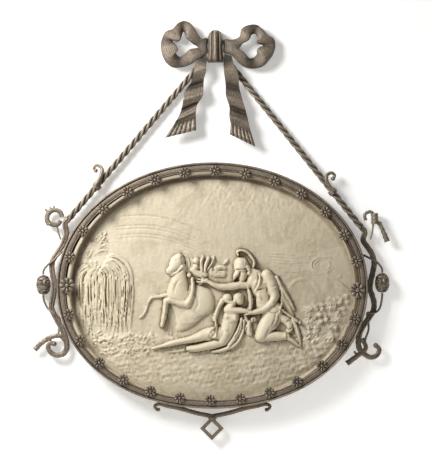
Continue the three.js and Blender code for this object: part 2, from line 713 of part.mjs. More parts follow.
// Loops: an outer and an inner edge, point for point, with the ribbon rippling between them.
const loopEdges = {
  left: {
    outer: [[-15.4, 0], [-15.6, 15], [-26, 14], [-33, 22], [-41, 35], [-50, 45], [-62, 48.5], [-74, 43],
      [-83, 33], [-97, 27], [-105.5, 8], [-105, -12], [-97, -31], [-84, -41.5], [-68, -42], [-50, -37],
      [-34, -26], [-15.6, -14]],
    inner: [[-33.5, -3.1], [-37, 0], [-43, 3.5], [-50, 9.5], [-56.5, 15], [-59, 22], [-62, 27.5], [-65.5, 20],
      [-68, 12.5], [-75, 8], [-83.5, 11], [-76.5, 2], [-73, -8], [-77, -13], [-70, -20.5], [-60, -15],
      [-50, -6.5], [-38, -4.5]],
  },
  right: {
    outer: [[15.4, -1], [15.6, 11.5], [36, 12.5], [46.5, 18], [50, 32], [63, 40], [80, 41], [92, 32],
      [102, 21], [113, 14], [116.3, 2], [113, -14], [104, -28], [93, -39], [76, -44], [60, -42.5],
      [46, -34], [31, -18], [15.6, -12.5]],
    inner: [[46.4, -4], [48.5, -1], [53, 4.6], [62.8, 9.8], [67.5, 15], [70.5, 21.5], [76.5, 23.5], [80.5, 17],
      [79.5, 10], [81, 4.5], [92, 1.2], [85, -2.5], [80, -8], [80.5, -15], [73, -22.5], [66, -23.5],
      [59, -16], [53, -9.5], [48.5, -6.5]],
  },
};

function bowLoop({ outer, inner }) {
  const closed = (points) => new THREE.CatmullRomCurve3(
    points.map(([x, z]) => new THREE.Vector3(x * bowScale, 0, z * bowScale)), true, "centripetal");
  const outerCurve = closed(outer);
  const innerCurve = closed(inner);
  const steps = outer.length * 2;
  const sections = [];
  for (let i = 0; i < steps; i++) {
    const far = outerCurve.getPoint(i / steps);
    const near = innerCurve.getPoint(i / steps);
    const ripple = loopWave * Math.cos(i * Math.PI);
    const at = (share, y) => far.clone().lerp(near, share).setY(y);
    const front = -loopBackDepth - loopThickness;
    sections.push([
      at(0, -loopBackDepth),
      at(0, front - ripple * 0.6),
      at(0.5, front - 3 - ripple),
      at(1, front - ripple * 0.4),
      at(1, -loopBackDepth),
    ]);
  }
  return loft(sections, true);
}

// Tails: left and right edge, row by row, with ribs along the ribbon and a slow wave in depth.
const tailEdges = {
  left: {
    left: [[-27, -24.5], [-38.5, -33.5], [-42, -50], [-47.5, -71], [-59, -87], [-62, -105], [-66, -122],
      [-73, -140], [-98, -179]],
    right: [[-17.6, -21], [-17, -32.5], [-18.9, -52], [-22.5, -66], [-23.2, -81], [-24.5, -97], [-35, -114],
      [-38, -132], [-37.3, -164]],
  },
  right: {
    left: [[17.6, -20.5], [15, -33], [16.3, -50], [19.5, -76], [20, -97], [27, -119], [26.6, -137], [29, -150],
      [27.5, -172]],
    right: [[30, -22], [35.5, -37], [43.5, -54], [46.4, -80], [52, -104], [57.5, -121], [62, -138], [66, -157],
      [77.5, -196]],
  },
};

function bowTail(edges) {
  const ribs = 6;
  const sections = edges.left.map(([x1, z1], row) => {
    const [x2, z2] = edges.right[row];
    const wave = tailWave * Math.sin(row * 1.35);
    const front = [];
    const back = [];
    for (let i = 0; i <= ribs; i++) {
      const share = i / ribs;
      const x = THREE.MathUtils.lerp(x1, x2, share) * bowScale;
      const z = THREE.MathUtils.lerp(z1, z2, share) * bowScale;
      const rib = i % 2 ? tailRib : 0;
      front.push(new THREE.Vector3(x, -tailDepth - wave - tailThickness / 2 - rib, z));
      if (i % ribs === 0) back.unshift(new THREE.Vector3(x, -tailDepth - wave + tailThickness / 2, z));
    }
    return [...front, ...back];
  });
  return loft(sections);
}

for (const name of ["left", "right"]) {
  addPiece(part, "bow_loop_" + name, bowLoop(loopEdges[name]), ironLook);
  addPiece(part, "bow_tail_" + name, bowTail(tailEdges[name]), ironLook);
}

export default part;
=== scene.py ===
import math
import bpy
import numpy as np
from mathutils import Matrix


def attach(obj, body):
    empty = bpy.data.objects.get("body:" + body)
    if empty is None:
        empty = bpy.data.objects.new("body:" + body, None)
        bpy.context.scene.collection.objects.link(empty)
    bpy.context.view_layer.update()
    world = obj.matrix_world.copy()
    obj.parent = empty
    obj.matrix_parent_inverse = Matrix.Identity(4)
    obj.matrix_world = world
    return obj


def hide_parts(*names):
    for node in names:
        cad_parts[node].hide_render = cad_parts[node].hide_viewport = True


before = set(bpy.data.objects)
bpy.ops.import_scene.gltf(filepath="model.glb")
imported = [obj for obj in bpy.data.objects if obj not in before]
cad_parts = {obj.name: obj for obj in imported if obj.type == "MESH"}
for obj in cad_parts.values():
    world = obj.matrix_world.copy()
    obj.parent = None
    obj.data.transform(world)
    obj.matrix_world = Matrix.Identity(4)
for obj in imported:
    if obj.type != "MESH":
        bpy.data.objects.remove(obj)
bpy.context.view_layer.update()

mm = 0.001
print("frame loaded:", len(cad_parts), "nodes")

# camera straight in front of the wall, its picture 891.5 mm high at the front of the iron ring
view = {"distance": 3.0, "side": 0.001, "up": -0.360, "pictureHeight": 0.8915, "ringFront": 0.038}

bpy.ops.object.camera_add(location=(view["side"], -view["distance"], view["up"]), rotation=(math.pi / 2, 0, 0))
camera = bpy.context.object
camera.data.sensor_width = 36
camera.data.lens = 36 * (view["distance"] - view["ringFront"]) / view["pictureHeight"]
camera.data.clip_end = 50
bpy.context.scene.camera = camera
print("camera made")


def linear(hexColour):
    channels = [int(hexColour[i:i + 2], 16) / 255 for i in (0, 2, 4)]
    return tuple(c / 12.92 if c <= 0.04045 else ((c + 0.055) / 1.055) ** 2.4 for c in channels) + (1.0,)


def addNode(tree, kind, settings=None, sockets=None):
    node = tree.nodes.new(kind)
    for key, value in (settings or {}).items():
        setattr(node, key, value)
    for key, value in (sockets or {}).items():
        if isinstance(value, bpy.types.NodeSocket):
            tree.links.new(value, node.inputs[key])
        else:
            node.inputs[key].default_value = value
    return node


def newMaterial(name):
    material = bpy.data.materials.new(name)
    material.use_nodes = True
    material.node_tree.nodes.clear()
    return material, material.node_tree


def perMetre(millimetres):
    return 1000 / millimetres


# honed cream marble: a soft sheen, warm brown in the hollows, partly dust and partly painted shade
marbleLook = {"light": "ebe0c7", "body": "dbccad", "shadeAndDust": "6a583d", "rim": "645240", "vein": "b9a98a",
              "roughness": 0.5, "cloud": 90, "veinSize": 160, "grain": 7}


def honedCreamMarble():
    material, tree = newMaterial("honedCreamMarble")
    place = addNode(tree, "ShaderNodeTexCoord").outputs["Object"]
    shadeAndDust = addNode(tree, "ShaderNodeAttribute", {"attribute_name": "shadeAndDust"}).outputs["Fac"]
    paintedShade = addNode(tree, "ShaderNodeAttribute", {"attribute_name": "paintedShade"}).outputs["Fac"]
    clouds = addNode(tree, "ShaderNodeTexNoise", sockets={
        "Vector": place, "Scale": perMetre(marbleLook["cloud"]), "Detail": 6.0, "Roughness": 0.6})
    body = addNode(tree, "ShaderNodeMix", {"data_type": "RGBA"}, {
        0: clouds.outputs["Fac"], 6: linear(marbleLook["light"]), 7: linear(marbleLook["body"])})
    veins = addNode(tree, "ShaderNodeTexNoise", sockets={
        "Vector": place, "Scale": perMetre(marbleLook["veinSize"]), "Detail": 9.0, "Distortion": 1.6})
    thin = addNode(tree, "ShaderNodeMapRange", sockets={
        "Value": veins.outputs["Fac"], 1: 0.49, 2: 0.53, 3: 0.0, 4: 1.0})
    far = addNode(tree, "ShaderNodeMapRange", sockets={
        "Value": veins.outputs["Fac"], 1: 0.53, 2: 0.57, 3: 1.0, 4: 0.0})
    line = addNode(tree, "ShaderNodeMath", {"operation": "MULTIPLY"}, {0: thin.outputs[0], 1: far.outputs[0]})
    faint = addNode(tree, "ShaderNodeMath", {"operation": "MULTIPLY"}, {0: line.outputs[0], 1: 0.35})
    veined = addNode(tree, "ShaderNodeMix", {"data_type": "RGBA"}, {
        0: faint.outputs[0], 6: body.outputs[2], 7: linear(marbleLook["vein"])})
    speckle = addNode(tree, "ShaderNodeTexNoise", sockets={
        "Vector": place, "Scale": perMetre(marbleLook["grain"]), "Detail": 7.0, "Roughness": 0.8})
    dirtEdge = addNode(tree, "ShaderNodeMath", {"operation": "MULTIPLY_ADD"}, {
        0: speckle.outputs["Fac"], 1: 1.3, 2: -0.58})
    # the hollows darken, partly dust and partly painted shade, added to mottled grime from the speckle noise
    grimeAndShadeSum = addNode(tree, "ShaderNodeMath", {"operation": "ADD"}, {0: shadeAndDust, 1: dirtEdge.outputs[0]})
    grimeAndShade = addNode(tree, "ShaderNodeMapRange", sockets={
        "Value": grimeAndShadeSum.outputs[0], 1: 0.12, 2: 0.95, 3: 0.0, 4: 0.9})
    grimedAndShaded = addNode(tree, "ShaderNodeMix", {"data_type": "RGBA"}, {
        0: grimeAndShade.outputs[0], 6: veined.outputs[2], 7: linear(marbleLook["shadeAndDust"])})
    # painted shade: a brown multiplied in by the attribute that is set on the slab below
    shaded = addNode(tree, "ShaderNodeMix", {"data_type": "RGBA", "blend_type": "MULTIPLY"}, {
        0: paintedShade, 6: grimedAndShaded.outputs[2], 7: linear(marbleLook["rim"])})
    rough = addNode(tree, "ShaderNodeMapRange", sockets={
        "Value": speckle.outputs["Fac"], 1: 0.3, 2: 0.7, 3: marbleLook["roughness"] - 0.07,
        4: marbleLook["roughness"] + 0.1})
    bump = addNode(tree, "ShaderNodeBump", sockets={
        "Height": speckle.outputs["Fac"], "Strength": 0.5, "Distance": 0.9 * mm})
    shader = addNode(tree, "ShaderNodeBsdfPrincipled", sockets={
        "Base Color": shaded.outputs[2], "Roughness": rough.outputs[0], "IOR": 1.49, "Normal": bump.outputs[0]})
    addNode(tree, "ShaderNodeOutputMaterial", sockets={"Surface": shader.outputs[0]})
    return material


# filed and waxed wrought iron: brown-grey, brighter where it is rubbed, fine scratches from the file
def waxedWroughtIron(name, look):
    material, tree = newMaterial(name)
    place = addNode(tree, "ShaderNodeTexCoord").outputs["Object"]
    patches = addNode(tree, "ShaderNodeTexNoise", sockets={
        "Vector": place, "Scale": perMetre(look["patch"]), "Detail": 5.0, "Roughness": 0.65})
    spread = addNode(tree, "ShaderNodeMapRange", sockets={
        "Value": patches.outputs["Fac"], 1: 0.32, 2: 0.68, 3: 0.0, 4: 1.0})
    base = addNode(tree, "ShaderNodeMix", {"data_type": "RGBA"}, {
        0: spread.outputs[0], 6: linear(look["dark"]), 7: linear(look["light"])})
    grain = addNode(tree, "ShaderNodeTexNoise", sockets={
        "Vector": place, "Scale": perMetre(look["grain"]), "Detail": 4.0, "Roughness": 0.75})
    specks = addNode(tree, "ShaderNodeMapRange", sockets={
        "Value": grain.outputs["Fac"], 1: 0.35, 2: 0.62, 3: 0.0, 4: 0.55})
    rubbed = addNode(tree, "ShaderNodeMix", {"data_type": "RGBA"}, {
        0: specks.outputs[0], 6: base.outputs[2], 7: linear(look["rubbed"])})
    # painted shade in grooves, creases and gaps, from the attribute each piece is given
    shadeAndDust = addNode(tree, "ShaderNodeAttribute", {"attribute_name": "shadeAndDust"}).outputs["Fac"]
    dark = addNode(tree, "ShaderNodeMix", {"data_type": "RGBA"}, {
        0: shadeAndDust, 6: rubbed.outputs[2], 7: linear(look["shadeAndDust"])})
    rough = addNode(tree, "ShaderNodeMapRange", sockets={
        "Value": grain.outputs["Fac"], 1: 0.3, 2: 0.7, 3: look["roughness"] - 0.1, 4: look["roughness"] + 0.12})
    bump = addNode(tree, "ShaderNodeBump", sockets={
        "Height": grain.outputs["Fac"], "Strength": 0.5, "Distance": look["pit"] * mm})
    shader = addNode(tree, "ShaderNodeBsdfPrincipled", sockets={
        "Base Color": dark.outputs[2], "Roughness": rough.outputs[0], "Metallic": look["metallic"],
        "Normal": bump.outputs[0]})
    addNode(tree, "ShaderNodeOutputMaterial", sockets={"Surface": shader.outputs[0]})
    return material


ironLook = {"dark": "51463a", "light": "877967", "rubbed": "b5a695", "shadeAndDust": "1f1811", "roughness": 0.46,
            "metallic": 0.4, "patch": 34, "grain": 3.2, "pit": 0.8}
ropeLook = {"dark": "5a4f43", "light": "8d806f", "rubbed": "b3a693", "shadeAndDust": "2a2119", "roughness": 0.48,
            "metallic": 0.35, "patch": 24, "grain": 2.6, "pit": 0.6}
materials = {"marble": honedCreamMarble(), "iron": waxedWroughtIron("waxedWroughtIron", ironLook),
             "rope_iron": waxedWroughtIron("waxedTwistedIron", ropeLook)}
print("materials made")


def rename(piece, name):
    piece.name = name
    piece.data.name = name


def selectOnly(pieces):
    bpy.ops.object.select_all(action="DESELECT")
    for piece in pieces:
        piece.select_set(True)
    bpy.context.view_layer.objects.active = pieces[0]


def pointsOf(piece, unit=mm):
    flat = np.empty(len(piece.data.vertices) * 3)
    piece.data.vertices.foreach_get("co", flat)
    return flat.reshape(-1, 3) / unit


def finishPiece(piece, slot, node, shadeAndDust=None):
    piece.data.materials.clear()
    piece.data.materials.append(materials[slot])
    if shadeAndDust is not None:
        attribute = piece.data.attributes.new("shadeAndDust", "FLOAT", "POINT")
        values = np.zeros(len(piece.data.vertices))
        values[:len(shadeAndDust)] = shadeAndDust
        attribute.data.foreach_set("value", values)
    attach(piece, "root")
    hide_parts(node)


# a grid primitive rolled into a skin: place turns the shares across and along into millimetres
def gridSkin(name, across, along, place):
    bpy.ops.mesh.primitive_grid_add(x_subdivisions=across, y_subdivisions=along, size=1)
    piece = bpy.context.object
    rename(piece, name)
    shares = pointsOf(piece, 1)[:, :2] + 0.5
    piece.data.vertices.foreach_set("co", (place(shares[:, 0], shares[:, 1]) * mm).ravel())
    piece.data.update()
    return piece


def smoothSkin(sharp):
    bpy.ops.mesh.select_all(action="SELECT")
    bpy.ops.mesh.normals_make_consistent(inside=False)
    bpy.ops.object.mode_set(mode="OBJECT")
    bpy.ops.object.shade_smooth_by_angle(angle=math.radians(sharp))


def closeSkin(piece, sharp=40):
    bpy.ops.object.mode_set(mode="EDIT")
    bpy.ops.mesh.select_all(action="SELECT")
    bpy.ops.mesh.remove_doubles(threshold=0.03 * mm)
    bpy.ops.mesh.select_all(action="SELECT")
    bpy.ops.mesh.fill_holes(sides=0)
    smoothSkin(sharp)
    return piece


def joinPieces(pieces, name):
    selectOnly(pieces)
    bpy.ops.object.join()
    rename(pieces[0], name)
    return pieces[0]


# number of the row at a share of so many steps
def rowAt(share, steps):
    return np.rint(share * steps).astype(int)


def profileAt(profile, u):
    return profile[rowAt(u, len(profile) - 1)].T


# points of a smooth line through the given ones, evenly spaced
def smoothLine(points, steps, closed=False):
    points = np.array(points, float)
    if closed:
        run = np.vstack([points[-1], points, points[0], points[1]])
    else:
        run = np.vstack([2 * points[0] - points[1], points, 2 * points[-1] - points[-2]])
    dense = []
    for p0, p1, p2, p3 in zip(run, run[1:], run[2:], run[3:]):
        d0, d1, d2 = (max(np.linalg.norm(b - a) ** 0.5, 1e-4) for a, b in ((p0, p1), (p1, p2), (p2, p3)))
        t1 = ((p1 - p0) / d0 - (p2 - p0) / (d0 + d1) + (p2 - p1) / d1) * d1
        t2 = ((p2 - p1) / d1 - (p3 - p1) / (d1 + d2) + (p3 - p2) / d2) * d1
        t = np.linspace(0, 1, 30, endpoint=False)[:, None]
        dense.append(p1 + t1 * t + (3 * (p2 - p1) - 2 * t1 - t2) * t ** 2 + (2 * (p1 - p2) + t1 + t2) * t ** 3)
    dense = np.vstack(dense + [run[-2]])
    lengths = np.concatenate([[0], np.cumsum(np.linalg.norm(np.diff(dense, axis=0), axis=1))])
    wanted = np.linspace(0, lengths[-1], steps + 1)
    return np.column_stack([np.interp(wanted, lengths, dense[:, k]) for k in range(dense.shape[1])])


# directions along a line, across it in the plane of the wall, and forward
def lineFrame(line, closed=False):
    if closed:
        along = np.roll(line[:-1], -1, axis=0) - np.roll(line[:-1], 1, axis=0)
        along = np.vstack([along, along[0]])
    else:
        along = np.gradient(line, axis=0)
    along /= np.linalg.norm(along, axis=1)[:, None]
    across = np.cross(along, [0, 1, 0])
    across /= np.linalg.norm(across, axis=1)[:, None]
    return along, across, np.cross(across, along)


# bar swept along a line: section turns an angle and a share of the length into millimetres across and forward
def sweptBar(name, route, around, steps, section, closed=False):
    line = smoothLine(route, steps, closed)
    along, across, forward = lineFrame(line, closed)

    def place(u, v):
        row = rowAt(v, steps)
        a, f = section(u * 2 * math.pi, v)
        return line[row] + across[row] * a[:, None] + forward[row] * f[:, None]

    return closeSkin(gridSkin(name, around, steps, place))


# half a width and half a depth, each a function of the share of the length
def roundedBar(width, depth, squareness):
    def section(turn, v):
        c, s = np.cos(turn), np.sin(turn)
        return (width(v) * np.sign(c) * np.abs(c) ** (2 / squareness),
                depth(v) * np.sign(s) * np.abs(s) ** (2 / squareness))
    return section


def runOut(size, tip, start):
    return lambda v: size + (tip - size) * np.clip((v - start) / (1 - start), 0, 1)


def taper(start, end):
    return lambda v: start + (end - start) * v


def even(size):
    return lambda v: size


# the oval of the iron ring, a little fuller below its middle
oval = {"halfWidth": 300, "halfHeight": 237.5, "upper": 2.0, "lower": 2.12, "centre": (-6, 0, -464)}
ringCentre = np.array(oval["centre"], float)


def ovalPoint(halfWidth, halfHeight, angle, outward, y):
    c, s = np.cos(angle), np.sin(angle)
    power = np.where(s < 0, oval["lower"], oval["upper"])
    x = halfWidth * np.sign(c) * np.abs(c) ** (2 / power)
    z = halfHeight * np.sign(s) * np.abs(s) ** (2 / power)
    nx = np.sign(c) * np.abs(x / halfWidth) ** (power - 1) / halfWidth
    nz = np.sign(s) * np.abs(z / halfHeight) ** (power - 1) / halfHeight
    size = np.hypot(nx, nz)
    return np.stack([x + nx / size * outward, y + 0 * x, z + nz / size * outward], axis=-1)


def ringPoint(angle, outward, y):
    return ovalPoint(oval["halfWidth"], oval["halfHeight"], np.asarray(angle, float), outward, y)


def evenAngles(start, end, intervals):
    samples = np.linspace(start, end, 2001)
    points = ringPoint(samples, 0, 0)
    lengths = np.concatenate([[0], np.cumsum(np.linalg.norm(np.diff(points, axis=0), axis=1))])
    return np.interp(np.linspace(0, lengths[-1], intervals + 1), lengths, samples)


# iron ring: [inset, depth] round the profile, from the back of the outer wall to the back of the inner one
ring = {"around": 400, "profile": [
    (0, 0), (0, -12), (0, -26), (0, -35.4), (0.3, -37.6), (1.1, -39.3), (2.3, -40), (3.4, -39.5), (4.1, -38.2),
    (4.6, -36.6), (5.3, -36.7), (6, -37.7), (8, -38.1), (10.2, -38.3), (12.2, -38.1), (13.4, -37.6), (13.9, -36.8),
    (14.4, -36.9), (14.9, -37.9), (15.6, -38.3), (16.3, -37.9), (16.5, -37), (16.5, -34), (12, -34), (7, -34),
    (7, -20), (7, -1.7), (30, -1.7), (30, 0)]}


def ringSkin():
    angles = evenAngles(0, 2 * math.pi, ring["around"])
    profile = np.array(ring["profile"] + ring["profile"][:1], float)

    def place(u, v):
        row = rowAt(v, ring["around"])
        inset, depth = profileAt(profile, u)
        return ringPoint(angles[row], -inset, depth) + ringCentre

    return closeSkin(gridSkin("ringShell", len(profile) - 1, ring["around"], place), 35)


piece = ringSkin()
depths = pointsOf(piece)[:, 1]
# painted shade in the grooves beside the beads and on the back flange, deep behind the marble
shadeAndDust = np.where((depths > -37.1) & (depths < -36.5), 0.75, np.where(depths > -2, 0.85, 0))
finishPiece(piece, "iron", "frame_ring", shadeAndDust)
print("ring made")

# rosettes: eight fluted petals round a boss, the two at the sides larger
rosettes = {"small": 11, "large": 15.5, "smallInset": 16.7, "largeInset": 20.3, "height": 6, "perHalf": 13,
            "rightDrop": 8, "bandFront": -38.3, "petals": 8, "boss": 0.27, "front": 0.86, "edge": 0.93}


def rosetteSkin(name, radius):
    def place(u, v):
        turn = u * 2 * math.pi
        # out over the front, down the edge, then back under it
        reach = np.interp(v, [0, rosettes["front"], rosettes["edge"], 1], [0, 1, 1, 0])
        petal = (1 + np.cos(rosettes["petals"] * turn)) / 2
        outline = radius * (0.86 + 0.14 * petal ** 0.4)
        boss = 0.7 + 0.3 * np.sqrt(np.clip(1 - (reach / rosettes["boss"]) ** 2, 0, 1))
        swell = np.sin(np.clip((reach - 0.28) / 0.74, 0, 1) * math.pi)
        flute = 0.3 + 0.6 * petal ** 0.36 * swell ** 0.45
        height = rosettes["height"] * np.where(reach < rosettes["boss"], boss, flute)
        edge = np.interp(v, [rosettes["front"], rosettes["edge"]], [1.2, 0])
        height = np.where(v > rosettes["front"], edge, height)
        return np.stack([reach * outline * np.cos(turn), -height, reach * outline * np.sin(turn)], axis=-1)

    return closeSkin(gridSkin(name, 64, 15, place), 50)


# painted shade in the gaps between the petals and in the groove round the boss
def petalShade(piece, radius):
    points = pointsOf(piece)
    reach = np.hypot(points[:, 0], points[:, 2]) / radius
    turn = np.arctan2(points[:, 2], points[:, 0])
    gap = np.clip((0.2 - (1 + np.cos(rosettes["petals"] * turn)) / 2) / 0.2, 0, 1) * (reach > 0.33)
    groove = np.exp(-((reach - 0.31) / 0.05) ** 2)
    return np.clip(0.5 * gap + 0.7 * groove, 0, 0.8)


models = {size: rosetteSkin(size + "Model", rosettes[size]) for size in ("small", "large")}
rightTurn = -math.asin(rosettes["rightDrop"] / oval["halfHeight"])
upperTurns = evenAngles(math.pi, rightTurn, rosettes["perHalf"] + 1)[1:-1]
lowerTurns = evenAngles(math.pi, 2 * math.pi + rightTurn, rosettes["perHalf"] + 1)[1:-1]
places = [("rosette_left", "large", math.pi), ("rosette_right", "large", rightTurn)]
places += [("rosette_%02d" % (i + 1), "small", turn) for i, turn in enumerate([*upperTurns, *lowerTurns])]
for i, (name, size, turn) in enumerate(places):
    selectOnly([models[size]])
    bpy.ops.object.duplicate(linked=False)
    piece = bpy.context.object
    rename(piece, name + "_petals")
    shadeAndDust = petalShade(piece, rosettes[size])
    spot = ringPoint(turn, -rosettes[size + "Inset"], rosettes["bandFront"]) + ringCentre
    piece.rotation_euler = (0, (i * 2.39) % 0.785, 0)  # each one was fixed at its own turn
    piece.location = spot * mm
    bpy.ops.object.transform_apply(location=True, rotation=True, scale=True)
    finishPiece(piece, "iron", name, shadeAndDust)
for model in models.values():
    bpy.data.objects.remove(model)
print("rosettes made")

# side irons: degrees below the widest point of the ring, millimetres outward, and forward of their plane
irons = {"depth": 14, "barHalf": 5.5, "barDeep": 4, "tendril": 2.1, "onBar": 5.3, "budHalf": (14.5, 13, 19),
         "gap": 0.3, "knob": 5}
sideIrons = {
    "left": {
        "side": -1,
        "foot": (-29.3, 21),
        "bar": [(-24.1, 10.5), (-19.3, 6.6), (-15.4, 9.5), (-10.2, 15.6), (-6.4, 13.4), (0.1, 6), (4.8, 10.3),
                (9.1, 15.8), (13.4, 12.3), (19.2, 8), (24.2, 10), (27.5, 18), (28.4, 29), (27.2, 42), (25, 48),
                (23, 46.5), (22.3, 39), (23.2, 33.5)],
        "bud": (-0.1, 28),
        "tendrilTop": [(-16, 2.4, 0), (-11.2, 13, 1), (-8.4, 23, 1)],
        "tendrilFoot": [(8.8, 23.8, 0), (11.4, 13, 1), (14.5, 5, 0.3), (17.6, 12.2, -0.6), (21, 18, 0),
                        (23.6, 14, 0)],
        "twig": [(24, 12), (21.6, 15.5), (20.3, 30), (20.5, 47), (21.2, 62), (22, 72.5)],
        "twigStub": [(20.4, 36), (22, 38.2)],
        "collarUp": 84,
        "hook": [(0, 2, 1), (14, 4.5, 1), (25, 8, 0.9), (31, 12, 0.7), (33, 19.5, 0.5), (29.5, 27, 0.4),
                 (22.5, 26.5, 0.4), (21.3, 20.5, 0.4)],
    },
    "right": {
        "side": 1,
        "foot": (-25.4, 20.5),
        "bar": [(-20.2, 12.4), (-17.2, 14.3), (-13.6, 18.6), (-9.6, 18.7), (-5.9, 13.3), (-2, 7.6), (1.7, 6),
                (3.8, 10.3), (6.8, 15.8), (9.9, 17.2), (13.2, 12.7), (16.8, 7.4), (21.1, 5.75), (24.3, 9.5),
                (27.2, 20.2), (27.9, 34), (27.5, 48), (25.4, 55.5), (23.4, 53), (22.8, 44)],
        "bud": (-0.9, 29.5),
        "tendrilTop": [(-14, 2.4, 0), (-11.6, 13.6, 1), (-9.6, 24, 0)],
        "tendrilFoot": [(8.8, 28.2, 0), (10.6, 22, 0.6), (11.2, 14, 1), (11.6, 6.5, 0.4), (15.6, 14, 0),
                        (18.6, 19, 0), (22, 20.3, 0), (24.4, 23, 0)],
        "twig": [(22.8, 14), (25.5, 29.5), (28.1, 26.6), (31.5, 21.6), (35.2, 17)],
        "twigStub": [(29.8, 24), (29.3, 13.5)],
        "collarUp": 88,
        "hook": [(0, 2, 1), (16, 1.5, 1), (27, 5, 1), (32.5, 13, 0.7), (29.5, 21.5, 0.5), (22, 22.5, 0.4),
                 (19.5, 16.5, 0.4)],
    },
}
rope = {"radius": 6.3, "strand": 3.1, "lay": 54, "topOut": 22.5, "topDown": 27, "topDepth": 7,
        "stepsPerTurn": 26, "strandSides": 12}
hooks = {"radius": 3.8, "tip": 2.8, "knob": 4.4, "collar": [
    (8.2, -5), (8.9, -4.2), (8.9, -3.2), (8.3, -2.4), (9.1, -0.8), (9.1, 0.8), (8.3, 2.4), (8.9, 3.2), (8.9, 4.2),
    (8.2, 5)]}


def sidePoint(plan, down, outward, forward=0):
    turn = math.pi + math.radians(down) if plan["side"] < 0 else -math.radians(down)
    return ringPoint(turn, outward, -irons["depth"] - forward) + ringCentre


def sideRoute(plan, points):
    return [sidePoint(plan, *point) for point in points]


def ropeEnds(plan):
    top = np.array([plan["side"] * rope["topOut"], -rope["topDepth"], -rope["topDown"]])
    foot = sidePoint(plan, *plan["foot"])
    along = (foot - top) / np.linalg.norm(foot - top)
    return top, foot, along


# direction across a straight line, in the plane of the wall
def acrossOf(along):
    across = np.cross(along, [0, 1, 0])
    return across / np.linalg.norm(across)


def knobAt(spot, radius):
    bpy.ops.mesh.primitive_uv_sphere_add(segments=16, ring_count=10, radius=radius * mm, location=spot * mm)
    bpy.ops.object.transform_apply(location=True, rotation=True, scale=True)
    return bpy.context.object


def sideBar(name, plan):
    foot, along = ropeEnds(plan)[1:]
    start = [foot + along * irons["gap"], foot + along * 2 * irons["barHalf"]]
    route = start + sideRoute(plan, plan["bar"])
    width = runOut(irons["barHalf"], 4.4, 0.8)
    depth = runOut(irons["barDeep"], 3.4, 0.8)

    # two strands welded side by side as far as the scroll at the foot
    def section(turn, v):
        a, f = roundedBar(width, depth, 2.3)(turn, v)
        share = a / width(v) + 0.12 * np.sin(v * 19)
        groove = 1 - 0.6 * np.exp(-(share / 0.2) ** 2) * np.clip((0.8 - v) / 0.1, 0, 1)
        hammered = 1 + 0.035 * np.sin(v * 160) * np.cos(turn * 2)
        return a * hammered, f * groove

    return joinPieces([sweptBar(name, route, 32, 220, section), knobAt(route[-1], irons["knob"])], name)


def tendrilRoute(plan, points):
    return [sidePoint(plan, down, outward, front * irons["onBar"]) for down, outward, front in points]


def bark(turn, v):
    knots = 1 + 0.1 * np.sin(v * 47) * np.cos(turn + v * 9) + 0.07 * np.cos(turn * 5 + np.sin(v * 21) * 2)
    a, f = roundedBar(taper(4, 5.3), taper(3.3, 4), 2.2)(turn, v)
    return a * knots, f * knots


def sideIron(name, plan):
    bud = sidePoint(plan, *plan["bud"])
    reach = irons["budHalf"][2] + irons["gap"] + 0.4
    above = [bud + np.array([0, 0, reach + 7]), bud + np.array([0, 0, reach])]
    below = [bud - np.array([0, 0, reach]), bud - np.array([0, 0, reach + 7])]
    rod = roundedBar(even(irons["tendril"]), even(irons["tendril"]), 2)
    stub = taper(2.6, 2)
    parts = [
        sideBar(name + "Bar", plan),
        sweptBar(name + "Upper", tendrilRoute(plan, plan["tendrilTop"]) + above, 10, 44, rod),
        sweptBar(name + "Lower", below + tendrilRoute(plan, plan["tendrilFoot"]), 10, 70, rod),
        sweptBar(name + "Twig", sideRoute(plan, plan["twig"]), 16, 60, bark),
        sweptBar(name + "Stub", sideRoute(plan, plan["twigStub"]), 10, 4, roundedBar(stub, stub, 2)),
    ]
    return joinPieces(parts, name + "_forged")


# flower bud: petals folded over one another, with deep creases between
budLook = {"folds": 4, "lip": 0.2}


def budSkin(name, plan):
    centre = sidePoint(plan, *plan["bud"])
    wide, deep, tall = irons["budHalf"]

    def place(u, v):
        turn, rise = u * 2 * math.pi, v * math.pi
        lean = turn * budLook["folds"] / 2 + 1.6 * np.sin(rise * 4.5 + turn) + 1.2 * np.sin(rise * 7 - turn * 2)
        fold = np.abs(np.sin(lean)) ** 0.7
        body = np.sin(rise) ** 0.7 * (1 - budLook["lip"] * (1 - fold))
        tip = -tall * np.cos(rise) * (1 - 0.12 * (1 - fold) * np.abs(np.cos(rise)))
        return centre + np.stack([wide * body * np.cos(turn), deep * body * np.sin(turn), tip], axis=-1)

    return closeSkin(gridSkin(name, 84, 72, place), 60)


# painted shade in the deep creases between the bud's folded petals
def budShade(piece, plan):
    wide, deep, tall = irons["budHalf"]
    points = pointsOf(piece) - sidePoint(plan, *plan["bud"])
    full = np.clip(1 - (points[:, 2] / tall) ** 2, 0.02, 1) ** 0.35
    reach = np.hypot(points[:, 0] / wide, points[:, 1] / deep) / full
    return np.clip((0.93 - reach) / 0.12, 0, 0.8)


